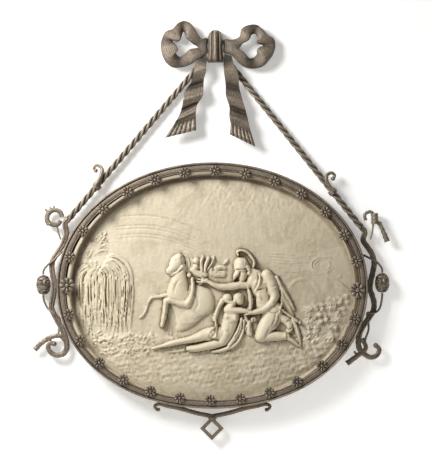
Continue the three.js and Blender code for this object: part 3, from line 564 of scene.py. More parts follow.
# rope of three twisted iron strands
def ropeSkin(name, plan):
    top, foot, along = ropeEnds(plan)
    across = acrossOf(along)
    forward = np.cross(across, along)
    length = np.linalg.norm(foot - top)
    steps = round(length / rope["lay"] * rope["stepsPerTurn"])
    swing = rope["radius"] - rope["strand"]
    strands = []
    for k in range(3):
        def place(u, v, start=k * 2 * math.pi / 3):
            turn = v[:, None] * 2 * math.pi * length / rope["lay"] + start
            side = across * np.cos(turn) + forward * np.sin(turn)
            centre = top + (foot - top) * v[:, None] + side * swing
            path = along + (forward * np.cos(turn) - across * np.sin(turn)) * swing * 2 * math.pi / rope["lay"]
            path /= np.linalg.norm(path, axis=1)[:, None]
            other = np.cross(path, side)
            spin = u[:, None] * 2 * math.pi
            return centre + (side * np.cos(spin) + other * np.sin(spin)) * rope["strand"]
        strands.append(closeSkin(gridSkin(name + str(k), rope["strandSides"], steps, place), 80))
    return joinPieces(strands, name + "_strands")


# a place beside the rope: millimetres up it from its foot, outward, and forward in steps of the hook's clearance
def ropePlace(plan, up, outward, forward):
    foot, down = ropeEnds(plan)[1:]
    out = acrossOf(-down)
    out *= np.sign(out[0]) * plan["side"]
    front = np.cross(-down, out)
    front *= -np.sign(front[1])
    return foot - down * up + out * outward + front * forward * (rope["radius"] + hooks["radius"] + irons["gap"])


def ropeHook(name, plan):
    down = ropeEnds(plan)[2]
    bore, half = rope["radius"] + irons["gap"], hooks["collar"][-1][1]
    profile = np.array([(bore, -half), *hooks["collar"], (bore, half), (bore, -half)])
    middle = ropePlace(plan, plan["collarUp"], 0, 0)
    out = acrossOf(down)
    other = np.cross(down, out)

    def place(u, v):
        r, rise = profileAt(profile, u)
        turn = v * 2 * math.pi
        side = out * np.cos(turn)[:, None] + other * np.sin(turn)[:, None]
        return middle - down * rise[:, None] + side * r[:, None]

    collar = closeSkin(gridSkin(name + "Collar", len(profile) - 1, 32, place), 50)
    route = [ropePlace(plan, plan["collarUp"] + up, outward, forward) for up, outward, forward in plan["hook"]]
    size = runOut(hooks["radius"], hooks["tip"], 0.3)
    stem = sweptBar(name + "Stem", route, 12, 60, roundedBar(size, size, 2))
    return joinPieces([collar, stem, knobAt(route[-1], hooks["knob"])], name + "_scroll")


# frayed rope ends, bar by bar: the route outward and up from the rope's foot, the sides round, the steps along,
# the radius at both ends, the turns of twist, the strands and how deep they are cut
ropeKnots = {
    "left": [
        ([(13.4, 4), (15.6, 12), (23, 17), (33, 16), (41, 8), (42, -3), (37, -11)], 24, 90, (4.6, 5.8), 3.5, 4, 0.3),
        ([(15.6, -3), (20, -10), (28, -11.5), (37, -9)], 24, 60, (4.3, 5.2), 2.5, 4, 0.3),
        ([(28, 18), (29.5, 26.5)], 12, 8, (3.2, 1.4), 1, 3, 0.2),
        ([(39, 12), (46, 19)], 12, 8, (3.6, 2), 1, 3, 0.2),
        ([(33, 17), (37, 23)], 12, 8, (3.4, 1.8), 1, 3, 0.2),
        ([(23, -10), (21, -24), (15.4, -40)], 10, 30, (1.9, 1.9), 3, 3, 0.2)],
    "right": [
        ([(9, 13), (7, 24), (17, 30), (26, 24)], 18, 44, (3.5, 3.5), 2, 3, 0.2),
        ([(26, 27), (27, 6)], 24, 16, (7.3, 7.3), 0.6, 5, 0.2),
        ([(30, 12), (38, 3), (45, -13), (51, -28)], 18, 40, (3.4, 6), 1.5, 3, 0.2),
        ([(33, 9), (41, 9)], 10, 6, (3, 1.2), 1, 3, 0.2),
        ([(24, 10), (22, -7), (18, -24)], 10, 30, (1.9, 1.9), 3, 3, 0.2)],
}


def twisted(radius, turns, lobes, depth):
    def section(turn, v):
        cut = np.abs(np.cos(lobes / 2 * (turn + v * turns * 2 * math.pi)))
        reach = radius(v) * (1 - depth + depth * cut)
        return reach * np.cos(turn), reach * np.sin(turn)
    return section


def ropeKnot(name, plan):
    foot = ropeEnds(plan)[1]
    parts = []
    for points, around, steps, radius, turns, lobes, depth in ropeKnots[name]:
        route = [foot + np.array([plan["side"] * outward, 0, up]) for outward, up in points]
        parts.append(sweptBar("knotBar", route, around, steps, twisted(taper(*radius), turns, lobes, depth)))
    return joinPieces(parts, name + "_rope_knot_twists")


# painted shade between the rope's strands
def strandShade(piece, plan):
    top, _, along = ropeEnds(plan)
    points = pointsOf(piece) - top
    off = points - (points @ along)[:, None] * along
    return np.clip((rope["radius"] * 0.9 - np.linalg.norm(off, axis=1)) / (rope["radius"] * 0.26), 0, 1)


for name, plan in sideIrons.items():
    finishPiece(sideIron(name + "_bracket", plan), "iron", name + "_bracket")
    piece = budSkin(name + "_bud_scales", plan)
    finishPiece(piece, "iron", name + "_bud", budShade(piece, plan))
    piece = ropeSkin(name + "_rope", plan)
    finishPiece(piece, "rope_iron", name + "_rope", strandShade(piece, plan))
    finishPiece(ropeHook(name + "_rope_hook", plan), "iron", name + "_rope_hook")
    finishPiece(ropeKnot(name, plan), "rope_iron", name + "_rope_knot")
print("side irons, ropes and knots made")

# bottom iron: two crossing bars with curled ends and an open diamond below
bottomIron = {
    "arm": [(8, 21), (0, 17.6), (30, 12), (55, 7.2), (72, 5.2), (88, 5.2), (104, 5.6), (112, 12), (106, 19)],
    "barHalf": 4.5, "diamond": 23, "diamondBar": 9.5, "diamondDeep": 7, "drop": 40.5, "knob": 3.9}


def underRing(x, below):
    share = abs(x / oval["halfWidth"]) ** oval["lower"]
    z = -oval["halfHeight"] * (1 - share) ** (1 / oval["lower"]) - below
    return np.array([x, -irons["depth"], z]) + ringCentre


def bottomIronPiece():
    parts = []
    for side in (-1, 1):
        route = [underRing((side if i else -side) * x, below) for i, (x, below) in enumerate(bottomIron["arm"])]
        half = runOut(bottomIron["barHalf"], 2.4, 0.75)
        parts.append(sweptBar("bottomBar", route, 18, 110, roundedBar(half, even(irons["barDeep"]), 2.6)))
        parts.append(knobAt(route[-1] + np.array([-side, 0, 2]), bottomIron["knob"]))
    middle = underRing(0, bottomIron["drop"]) + np.array([-1, 0, 0])
    outer, deep = bottomIron["diamond"], bottomIron["diamondDeep"] / 2
    inner = outer - bottomIron["diamondBar"]
    profile = np.array([(inner + 0.6, deep), (inner, deep - 0.6), (inner, 0.6 - deep), (inner + 0.6, -deep),
                        (outer - 0.8, -deep), (outer, 0.8 - deep), (outer, deep - 0.8), (outer - 0.8, deep),
                        (inner + 0.6, deep)])

    def place(u, v):
        reach, depth = profileAt(profile, u)
        corner = np.rint(v * 4) * math.pi / 2
        return middle + np.stack([reach * np.cos(corner), depth, reach * np.sin(corner)], axis=-1)

    parts.append(closeSkin(gridSkin("diamond", len(profile) - 1, 4, place), 30))
    return joinPieces(parts, "bottom_bracket_forged")


finishPiece(bottomIronPiece(), "iron", "bottom_bracket")
print("bottom iron made")

# the bow: a fluted knot, two rippled loops and two ribbed tails
bow = {
    "knotHeights": [31, 28, 20, 8, -4, -16, -25, -31], "knotWidths": [0.36, 0.7, 0.97, 1, 0.95, 1.02, 1.15, 0.95],
    "knotDepths": [0.55, 0.8, 0.96, 1, 1, 0.98, 0.94, 0.86], "knotHalf": 15, "knotDeep": 34,
    "knotFront": 0.86, "loopBack": 14, "loopThick": 8, "loopRibs": 8,
    "leftFolds": [0, 0, 1, 3, 3, 0, -3.5, 1, 3.5, 2, -3.5, 2, 3.5, 0, -4, -1, 3, 2],
    "rightFolds": [0, 0, 1, 3, 3, 0, -3.5, 1, 3, 1, -3.5, 2, 3.5, 0, -4, -1, 3, 3, 1],
    "leftOuter": [(-15.4, 0), (-15.6, 15), (-26, 14), (-33, 22), (-41, 35), (-50, 45), (-62, 48.5), (-74, 43),
                  (-83, 33), (-97, 27), (-105.5, 8), (-105, -12), (-97, -31), (-84, -41.5), (-68, -42), (-50, -37),
                  (-34, -26), (-15.6, -14)],
    "leftInner": [(-33.5, -3.1), (-37, 0), (-43, 3.5), (-50, 9.5), (-56.5, 15), (-59, 22), (-62, 27.5), (-65.5, 20),
                  (-68, 12.5), (-75, 8), (-83.5, 11), (-76.5, 2), (-73, -8), (-77, -13), (-70, -20.5), (-60, -15),
                  (-50, -6.5), (-38, -4.5)],
    "rightOuter": [(15.4, -1), (15.6, 11.5), (36, 12.5), (46.5, 18), (50, 32), (63, 40), (80, 41), (92, 32),
                   (102, 21), (113, 14), (116.3, 2), (113, -14), (104, -28), (93, -39), (76, -44), (60, -42.5),
                   (46, -34), (31, -18), (15.6, -12.5)],
    "rightInner": [(46.4, -4), (48.5, -1), (53, 4.6), (62.8, 9.8), (67.5, 15), (70.5, 21.5), (76.5, 23.5), (80.5, 17),
                   (79.5, 10), (81, 4.5), (92, 1.2), (85, -2.5), (80, -8), (80.5, -15), (73, -22.5), (66, -23.5),
                   (59, -16), (53, -9.5), (48.5, -6.5)],
    "tailDepth": 21.5, "tailThick": 3.6, "tailWave": 4.4, "tailRibs": 6,
    "leftTail": ([(-27.6, -22.6), (-38.5, -32.5), (-42, -50), (-47.5, -71), (-59, -87), (-62, -105), (-66, -122),
                  (-73, -140), (-98, -179)],
                 [(-17, -17.6), (-17, -32.5), (-18.9, -52), (-22.5, -66), (-23.2, -81), (-24.5, -97), (-35, -114),
                  (-38, -132), (-37.3, -164)]),
    "rightTail": ([(17, -15.4), (15.4, -33), (16.3, -50), (19.5, -76), (20, -97), (27, -119), (26.6, -137),
                   (29, -150), (27.5, -172)],
                  [(31, -19.4), (35.5, -37), (43.5, -54), (46.4, -80), (52, -104), (57.5, -121), (62, -138),
                   (66, -157), (77.5, -196)]),
}


def smoothRow(values, shares):
    table = smoothLine([(i, value) for i, value in enumerate(values)], 200)
    return np.interp(shares * (len(values) - 1), table[:, 0], table[:, 1])


def knotSkin():
    def place(u, v):
        half = bow["knotHalf"] * smoothRow(bow["knotWidths"], v)
        deep = bow["knotDeep"] * smoothRow(bow["knotDepths"], v)
        back = u > bow["knotFront"]
        turn = np.clip(u / bow["knotFront"], 0, 1) * math.pi
        across = -np.cos(turn)
        groove = np.exp(-((np.abs(across) - 0.4) / 0.16) ** 2) * (1 + 0.9 * np.exp(-((v - 0.13) / 0.06) ** 2))
        flute = 1 - 0.17 * groove
        x = -half * np.cos(turn)
        y = -deep * np.sin(turn) ** 0.7 * flute
        x = np.where(back, half * (1 - 2 * (u - bow["knotFront"]) / 0.14), x)
        return np.stack([x, np.where(back, 0, y), smoothRow(bow["knotHeights"], v)], axis=-1)

    return closeSkin(gridSkin("bow_knot_flutes", 72, 64, place), 50)


# a ribbon's section in 60 columns: 48 across the front, then ten back again behind it, the last one on the first
ribbonColumns = 60


def ribbonShares(u):
    u = np.where(u > 0.999, 0, u)
    front = u < 0.801
    return front, np.where(front, u / 0.8, np.interp(u, [49 / ribbonColumns, 59 / ribbonColumns], [1, 0]))


# an edge of a loop: its points are spread evenly along v, so that the two edges are matched point for point
def loopEdge(points, v):
    steps = 600
    table = smoothLine(points, steps, closed=True)
    at = np.array([np.argmin(np.linalg.norm(table - p, axis=1)) for p in points] + [steps], float)
    spots = np.interp(v * len(points), np.arange(len(points) + 1), at)
    return np.column_stack([np.interp(spots, np.arange(steps + 1), table[:, k]) for k in (0, 1)])


def loopSkin(name, outer, inner, folds):
    def place(u, v):
        far, near = loopEdge(outer, v), loopEdge(inner, v)
        isFront, share = ribbonShares(u)
        flat = far + (near - far) * share[:, None]
        arch = np.sin(share * math.pi) ** 0.6
        rib = 0.6 * np.abs(np.sin(share * math.pi * bow["loopRibs"])) ** 0.7
        wave = smoothRow(folds + folds[:1], v) * (0.5 + 0.6 * share)
        front = -bow["loopBack"] - bow["loopThick"] * (0.55 + 0.45 * arch) - rib - wave
        y = np.where(isFront, front, -bow["loopBack"] - 1.5 * arch)
        return np.stack([flat[:, 0], y, flat[:, 1]], axis=-1)

    return closeSkin(gridSkin(name, ribbonColumns, 300, place), 60)


def tailSkin(name, edges):
    steps = 160
    leftEdge, rightEdge = (smoothLine(points, steps) for points in edges)

    def place(u, v):
        row = rowAt(v, steps)
        isFront, share = ribbonShares(u)
        flat = leftEdge[row] + (rightEdge[row] - leftEdge[row]) * share[:, None]
        swing = 2 * math.pi * (1.5 * v + 2.1 * v ** 2) - 0.9
        wave = bow["tailWave"] * np.sin(swing + 0.5 * share) ** 3
        wave += 0.35 * bow["tailWave"] * np.sin(swing)
        wave *= 1 - 0.8 * np.clip((v - 0.76) / 0.12, 0, 1)
        splay = 0.35 + 1.5 * np.clip((v - 0.78) / 0.2, 0, 1)
        bend = 0.7 * np.sin(v * 11) * np.clip((0.8 - v) / 0.1, 0, 1)
        rib = splay * np.abs(np.sin(share * math.pi * bow["tailRibs"] + bend)) ** 0.8
        middle = -bow["tailDepth"] - wave
        y = np.where(isFront, middle - bow["tailThick"] / 2 - rib + 0.6, middle + bow["tailThick"] / 2)
        return np.stack([flat[:, 0], y, flat[:, 1]], axis=-1)

    return closeSkin(gridSkin(name, ribbonColumns, steps, place), 60)


# painted shade, darker where the ribbon dips back and beside the knot
def ribbonShade(piece, front, deepest, sheltered):
    points = pointsOf(piece)
    dip = np.clip((points[:, 1] + front) / (front - deepest), 0, 1)
    near = np.clip(1 - (np.hypot(points[:, 0], points[:, 2]) - sheltered) / 16, 0, 1)
    return np.clip(0.75 * np.abs(dip) ** 1.1 + 0.6 * near, 0, 0.9)


piece = knotSkin()
points = pointsOf(piece)
# painted shade in the knot's two flute grooves and at its foot
grooveShade = np.exp(-((np.abs(points[:, 0]) - 6) / 1.9) ** 2) * 0.5 * (points[:, 1] < -20)
finishPiece(piece, "iron", "bow_knot", grooveShade + 0.5 * (points[:, 2] < -29))
for side in ("left", "right"):
    piece = loopSkin("bow_loop_" + side + "_ribbon", bow[side + "Outer"], bow[side + "Inner"], bow[side + "Folds"])
    finishPiece(piece, "iron", "bow_loop_" + side, ribbonShade(piece, 25.5, 17.5, 14))
    piece = tailSkin("bow_tail_" + side + "_ribbon", bow[side + "Tail"])
    finishPiece(piece, "iron", "bow_tail_" + side, ribbonShade(piece, 27, 18.5, 36))
print("bow made")

# marble slab: outline, rim, cove and sunk ground in millimetres, the carving laid out from the ring's middle
slab = {"halfWidth": 282.3, "halfHeight": 225.2, "shift": (1.4, -4.8), "rimFront": -33.7, "rimWidth": 6,
        "cove": 9, "groundDepth": 16, "lean": 2.4, "back": -2, "across": 330, "along": 275,
        "fullness": 2.1, "cut": 1.3, "rimFrom": 0.972, "coveAt": 0.951, "coveHalf": 0.025, "round": 2.1}


class Carving:
    def __init__(self, x, z):
        self.x, self.z = x, z
        self.height = np.zeros_like(x)

    def near(self, lowX, highX, lowZ, highZ):
        return np.flatnonzero((self.x > lowX) & (self.x < highX) & (self.z > lowZ) & (self.z < highZ))


def layerOf(carving):
    return np.full_like(carving.x, -50.0)


# smooth join of two heights where they are within blend of each other
def melt(a, b, blend):
    return np.maximum(a, b) + np.clip(blend - np.abs(a - b), 0, None) ** 2 / (4 * blend)


# swelling form along a smooth route of rows [x, z, radius, how far it stands proud]
def form(carving, layer, route, blend):
    route = np.array(route, float)
    if len(route) == 1:
        line = route
    else:
        steps = max(4, int(np.linalg.norm(np.diff(route[:, :2], axis=0), axis=1).sum() / 0.9))
        line = smoothLine(route, steps)
    x, z, radius, proud = line.T
    at = carving.near((x - radius).min(), (x + radius).max(), (z - radius).min(), (z + radius).max())
    away = np.hypot(carving.x[at][:, None] - x, carving.z[at][:, None] - z) / radius
    nearest = away.argmin(axis=1)
    away = away[np.arange(len(at)), nearest]
    at, nearest, away = at[away < 1], nearest[away < 1], away[away < 1]
    rise = proud[nearest] * (1 - away ** slab["fullness"]) ** (1 / slab["fullness"])
    layer[at] = melt(layer[at], rise, blend)


# raised or cut line along a smooth route, thinning out at its ends
def stroke(carving, layer, route, width, rise, thin=0.25, only=-40):
    length = np.linalg.norm(np.diff(np.array(route, float), axis=0), axis=1).sum()
    line = smoothLine(route, max(8, int(length / 0.8)))
    reach = width * 2.2
    at = carving.near(line[:, 0].min() - reach, line[:, 0].max() + reach, line[:, 1].min() - reach,
                      line[:, 1].max() + reach)
    at = at[layer[at] > only]
    if not len(at):
        return
    px, pz = carving.x[at][:, None], carving.z[at][:, None]
    away = (px - line[None, :, 0]) ** 2 + (pz - line[None, :, 1]) ** 2
    nearest = away.argmin(axis=1)
    share = nearest / (len(line) - 1)
    strength = np.clip(np.minimum(share, 1 - share) / thin, 0, 1) ** 0.7 if thin else 1
    layer[at] += rise * strength * np.exp(-away[np.arange(len(at)), nearest] / (width * 0.5) ** 2)


def strokes(carving, layer, rows, strength=1, only=-40):
    for route, width, rise in rows:
        stroke(carving, layer, route, width, rise * strength, only=only)


# repeatable roughness: sines of many sizes and directions added up
def ripples(x, z, size, seed, waves=14):
    random = np.random.default_rng(seed)
    total = np.zeros_like(x)
    for _ in range(waves):
        direction, phase = random.uniform(0, 2 * math.pi, 2)
        pitch = size * random.uniform(0.6, 1.8)
        total += np.sin(2 * math.pi * (x * math.cos(direction) + z * math.sin(direction)) / pitch + phase)
    return total / math.sqrt(waves)


horse = {
    "barrel": [
        [(-45.5, -20.5, 20.1, 7), (-31.5, -23, 24.5, 8.5), (-22.5, -27, 25.3, 9.5), (-18.5, -36, 22.7, 9)],
        [(-25, -37, 23.2, 8.5), (-37, -56, 17.5, 8), (-50.5, -69.5, 15, 7), (-62.5, -81.5, 8.3, 5)],
        [(-71.5, -24.5, 15.5, 7), (-58.5, -47.5, 16, 6), (-58.5, -68, 12.9, 5)]],
    "neck": [
        [(-62, 35, 11.3, 10), (-63.5, 22, 12.4, 10.5), (-64.5, 6.5, 16.5, 11),
         (-66, -7.5, 20.4, 11.5), (-67, -19.5, 21.7, 11), (-63.5, -29.5, 15.5, 10)]],
    "head": [
        [(-64.5, 53.5, 8.8, 11.5), (-68, 44.5, 14.2, 13), (-75.5, 34, 9.8, 13), (-83, 27.5, 7, 12.5)],
        [(-58, 36, 5.2, 12.5), (-68, 25.5, 4.4, 11), (-78.5, 21.5, 4.4, 11)]],
    "ears": [
        [(-63, 56, 3.4, 11), (-62, 62, 1.2, 7)]],
    "nearLeg": [
        [(-46, -34.5, 9.5, 13), (-58.5, -35.5, 8.3, 14), (-71.5, -32.5, 6.7, 14.5),
         (-84.5, -28.5, 6.7, 15), (-89.5, -31.5, 6.2, 15)],
        [(-90, -30, 5.9, 15), (-91, -42.5, 5.4, 14), (-92.5, -54, 5.2, 13.5), (-93.5, -59, 4.9, 13.5)],
        [(-93.5, -61, 5.7, 14), (-94, -63, 5.4, 14)], [(-94.5, -66, 5.2, 13.5), (-95.5, -68, 4.9, 13)],
        [(-95.5, -71, 4.9, 13), (-97.5, -78.5, 3.9, 12)]],
    "raisedLeg": [
        [(-44.5, 19, 4.9, 14)],
        [(-39, 13, 3.6, 14), (-37.5, 1.5, 4.1, 14.5), (-39, -14, 5.4, 15),
         (-42.5, -27, 7.7, 15), (-49.5, -36, 9, 14.5)]],
    "farLeg": [
        [(-90.5, -19.5, 4.1, 6), (-106, -22.5, 3.4, 5), (-117.5, -24, 3.1, 5), (-124.5, -35, 2.3, 5),
         (-128.5, -48, 2.3, 4.5), (-135, -58.5, 2.8, 4.5), (-140.5, -63.5, 1.8, 3.5)]],
}
attendant = {
    "forms": [
        [(-31, 47, 7, 8.5)], [(-32.5, 35.5, 6.4, 7)],
        [(-38, 29.5, 5.2, 6), (-27.5, 22, 6.7, 6), (-14.5, 19.5, 6.2, 5)],
        [(-17.5, 55.5, 2.3, 7), (-22, 44, 3.9, 7), (-20, 29.5, 3.9, 6)],
        [(-7.5, 52.5, 3.4, 6.5), (-12.5, 39.5, 3.6, 6.5), (-14.5, 26, 2.8, 6)],
        [(3, 53.5, 2.1, 7), (1.5, 46.5, 2.3, 7), (-8, 30.5, 2.1, 6)],
        [(9, 32, 6.2, 5), (16.5, 35, 5.2, 5.5), (23.5, 33.5, 4.1, 5)], [(6, 21.5, 7.2, 4.5), (20.5, 21.5, 6.7, 4.5)],
        [(-4, 32.5, 4.1, 4.5), (-0.5, 22, 4.6, 4)], [(23.5, 42.5, 3.1, 5), (29.5, 48, 2.3, 5)]],
}
woman = {
    "legTwo": [
        [(16.5, -110, 9.3, 12.5), (1, -115, 9, 13), (-14.5, -118.5, 8.3, 13.5),
         (-30, -121.5, 7.5, 13.5), (-42.5, -122.5, 6.4, 13), (-46.5, -122.5, 5.2, 12)],
        [(-52.5, -125.5, 3.4, 6), (-68.5, -128, 2.6, 4.5), (-84, -130, 1.8, 3)]],
    "legOne": [
        [(14.5, -93.5, 13.9, 13.5), (1.5, -94, 13.9, 14.5), (-10.5, -96, 12.9, 14.5), (-27.5, -101, 9.8, 14.5),
         (-44, -105.5, 7.2, 14.5), (-58.5, -108, 6.2, 14), (-71.5, -110.5, 6.2, 13.5), (-84, -113.5, 5.7, 13),
         (-96, -117, 3.9, 12), (-104.5, -119.5, 3.1, 11)],
        [(-104.5, -119.5, 3.4, 11), (-110.5, -120.5, 3.1, 9.5), (-115.5, -122.5, 2.1, 8)]],
    "torso": [
        [(41.5, -32, 6.2, 12.5), (36, -41, 7.7, 13)],
        [(35, -44.5, 10.8, 13), (37.5, -55.5, 14.7, 13.5), (35, -68, 15.5, 13.5),
         (30, -83.5, 14.7, 13), (24.5, -97, 14.2, 13), (19.5, -107, 11.3, 12.5)],
        [(43.5, -62.5, 7.7, 16.5), (44, -64, 7, 16.5)], [(27.5, -61, 6.7, 15.2), (28.5, -62.5, 5.7, 15.2)],
        [(26, -94, 9.3, 14.2), (24.5, -99.5, 8.8, 14)]],
    "farArm": [
        [(29.5, -47.5, 8.3, 14.5), (37, -48, 7.5, 15.5), (48.5, -48.5, 6.4, 16),
         (59.5, -49.5, 5.4, 16), (69.5, -51, 4.4, 15.5)]],
    "head": [
        [(29, -25.5, 9.8, 14)], [(50.5, -25, 10.8, 15.5), (53, -30, 8.3, 15)],
        [(32, -31.5, 5.2, 13), (37.5, -33.5, 5.2, 13)]],
    "hair": [
        [(19.5, -29, 5.2, 12), (13, -41, 4.4, 10), (7, -55.5, 3.9, 8.5), (2, -68, 2.6, 6.5)],
        [(16.5, -37, 2.6, 9), (10.5, -52.5, 2.3, 8), (6, -68, 2.1, 7), (5, -81, 1.5, 6)]],
    "drapery": [
        [(56.5, -66, 3.6, 11), (52.5, -83.5, 4.4, 10.5), (44, -100.5, 4.9, 10), (32.5, -116, 4.6, 9)],
        [(61.5, -68, 2.6, 10), (59, -87, 3.4, 9.5), (52, -105, 3.9, 9), (37.5, -120.5, 3.4, 8)],
        [(32, -121, 4.6, 9), (14, -127, 3.9, 8.5), (-0.5, -128.5, 2.6, 7)],
        [(63, -58, 3.1, 9), (68.5, -73.5, 3.6, 8), (67.5, -89, 3.6, 7)]],
    "sash": [
        [(6, -70.5, 2.3, 14.5), (8, -83.5, 2.8, 15.8), (7, -100, 3.4, 16)], [(0, -93, 4.4, 16.5)],
        [(3.5, -100, 3.6, 16.5)], [(-5.5, -99.5, 3.1, 15.5)],
        [(2, -83.5, 2.3, 15.5), (-4, -87.5, 2.3, 15.5), (-8, -94, 2.1, 15)]],
}
warrior = {
    "cloak": [
        [(122, 11.5, 7.7, 7), (133.5, -14, 11.3, 6.5), (145.5, -40, 9.3, 5.5), (155.5, -58, 3.6, 4)],
        [(125, 15.5, 3.4, 10), (133, -1, 3.6, 9.5), (143.5, -18, 3.6, 9),
         (152, -33.5, 3.1, 8), (158.5, -48, 2.1, 6.5)],
        [(131, -6.5, 3.9, 9.5), (138, -22.5, 3.6, 9), (145.5, -36, 3.1, 8), (153.5, -51.5, 2.1, 6)],
        [(130, -19, 3.4, 9), (135.5, -34.5, 3.1, 8.5), (140, -45, 2.6, 7)]],
    "farLeg": [
        [(132.5, -61.5, 8.8, 8.5), (145.5, -70.5, 8.3, 9), (150.5, -80, 7.2, 9), (148, -89, 5.7, 8)],
        [(155.5, -66, 4.1, 8), (164, -87, 4.6, 8.5), (169, -104.5, 3.6, 7.5), (171.5, -117, 2.3, 6)]],
    "torso": [
        [(73.5, 26, 8.8, 9), (84.5, 19.5, 12.4, 10)],
        [(78.5, 8, 13.4, 11.5), (90, -2.5, 17, 12.5), (96.5, -19, 16.5, 12.5),
         (99.5, -37, 15.5, 12.5), (109, -47.5, 16, 12.5)], [(86.5, 3.5, 10.3, 14), (90.5, -2, 9.3, 14)],
        [(90, -18.5, 7.2, 13.6), (92, -26, 6.7, 13.6)], [(69.5, 0, 7.2, 12), (57.5, 1, 8.3, 12)]],
    "thigh": [
        [(121, -47.5, 16.5, 13), (117, -58.5, 18.6, 14), (109, -73.5, 17.8, 15),
         (100.5, -87.5, 15.2, 16), (95, -98, 12.9, 16), (92.5, -100, 10.6, 16)]],
    "shin": [
        [(95, -101, 9.8, 13.5), (112, -99, 9.5, 13.5), (126, -98.5, 9.3, 13), (137, -98.5, 7.7, 12.5)],
        [(140, -98.5, 8.3, 14)], [(145.5, -99.5, 6.4, 12)],
        [(148.5, -103, 5.2, 11), (158.5, -110, 4.4, 10.5), (170.5, -119.5, 2.6, 8.5)]],
    "upperArm": [
        [(105, 19.5, 11.6, 15), (111.5, 6.5, 13.2, 16), (117, -9, 11.9, 16),
         (120, -21.5, 9.8, 16), (115.5, -32, 8.8, 16.5)]],
    "forearm": [
        [(115.5, -32, 8.8, 16.5), (105.5, -42.5, 7.7, 17), (92.5, -49, 6.2, 17), (81.5, -52, 5.2, 16.5)],
        [(80.5, -52, 5.2, 16.5), (71, -53, 4.1, 16)], [(74.5, -49, 2.3, 16.5), (68.5, -44, 1.5, 15)],
        [(69.5, -55.5, 2.3, 15.5), (62, -56.5, 1.5, 14)]],
    "head": [
        [(59, 20, 9.3, 13.5), (57.5, 12.5, 7, 13)], [(70.5, 23.5, 5.7, 11)]],
    "helmet": [
        [(55.5, 40.5, 14.4, 16), (55, 35, 14.2, 16)],
        [(49.5, 24, 7, 16), (43.5, 16.5, 4.1, 15), (41, 10, 1.5, 13.5)],
        [(67.5, 35, 5.7, 14.5), (72.5, 27.5, 3.4, 13)]],
    "crest": [
        [(49.5, 58, 2.1, 14), (49, 65.5, 2.8, 14), (56.5, 67.5, 2.3, 14), (67.5, 63.5, 2.8, 14.5),
         (76, 54.5, 3.4, 14.5), (81, 45.5, 3.1, 14), (79.5, 36, 2.3, 13)]],
    "stretchedArm": [
        [(55, 2, 7.7, 12), (42, -1.5, 8, 13), (29.5, -3, 7, 14),
         (16.5, -3, 6.4, 14.5), (4, 0.5, 5.2, 14.5), (-7.5, 6.5, 4.1, 14)],
        [(-11, 8.5, 4.6, 14), (-19.5, 9, 4.4, 13.5)],
        [(-19, 6, 2.3, 13.5), (-28, 6, 1.8, 13), (-31.5, 7.5, 1.3, 12)],
        [(-20, 10, 2.1, 13.5), (-28, 11.5, 1.5, 13)], [(-17, 13, 2.1, 13.5), (-23, 16.5, 1.3, 12)],
        [(-21, 3.5, 1.8, 13), (-25, 1.5, 1.3, 12)]],
    "gear": [
        [(134, -36.5, 2.6, 14.5), (129.5, -52, 2.1, 14.5)], [(124, -44, 1.8, 14), (137.5, -47, 1.8, 14)],
        [(134.5, -47.5, 2.8, 12), (150.5, -59.5, 3.1, 11.5), (164.5, -69.5, 3.1, 11)], [(169, -72.5, 3.6, 11)],
        [(116, -37.5, 4.4, 18)],
        [(68.5, -4, 2.1, 13.5), (72.5, -16.5, 4.4, 14.5), (74.5, -32, 4.6, 14.5), (73.5, -45, 3.9, 14)],
        [(79.5, -66, 6.2, 9.5)], [(71, -72, 4.9, 9.5), (69.5, -83.5, 7.2, 10.5), (72, -93, 6.2, 9)]],
}
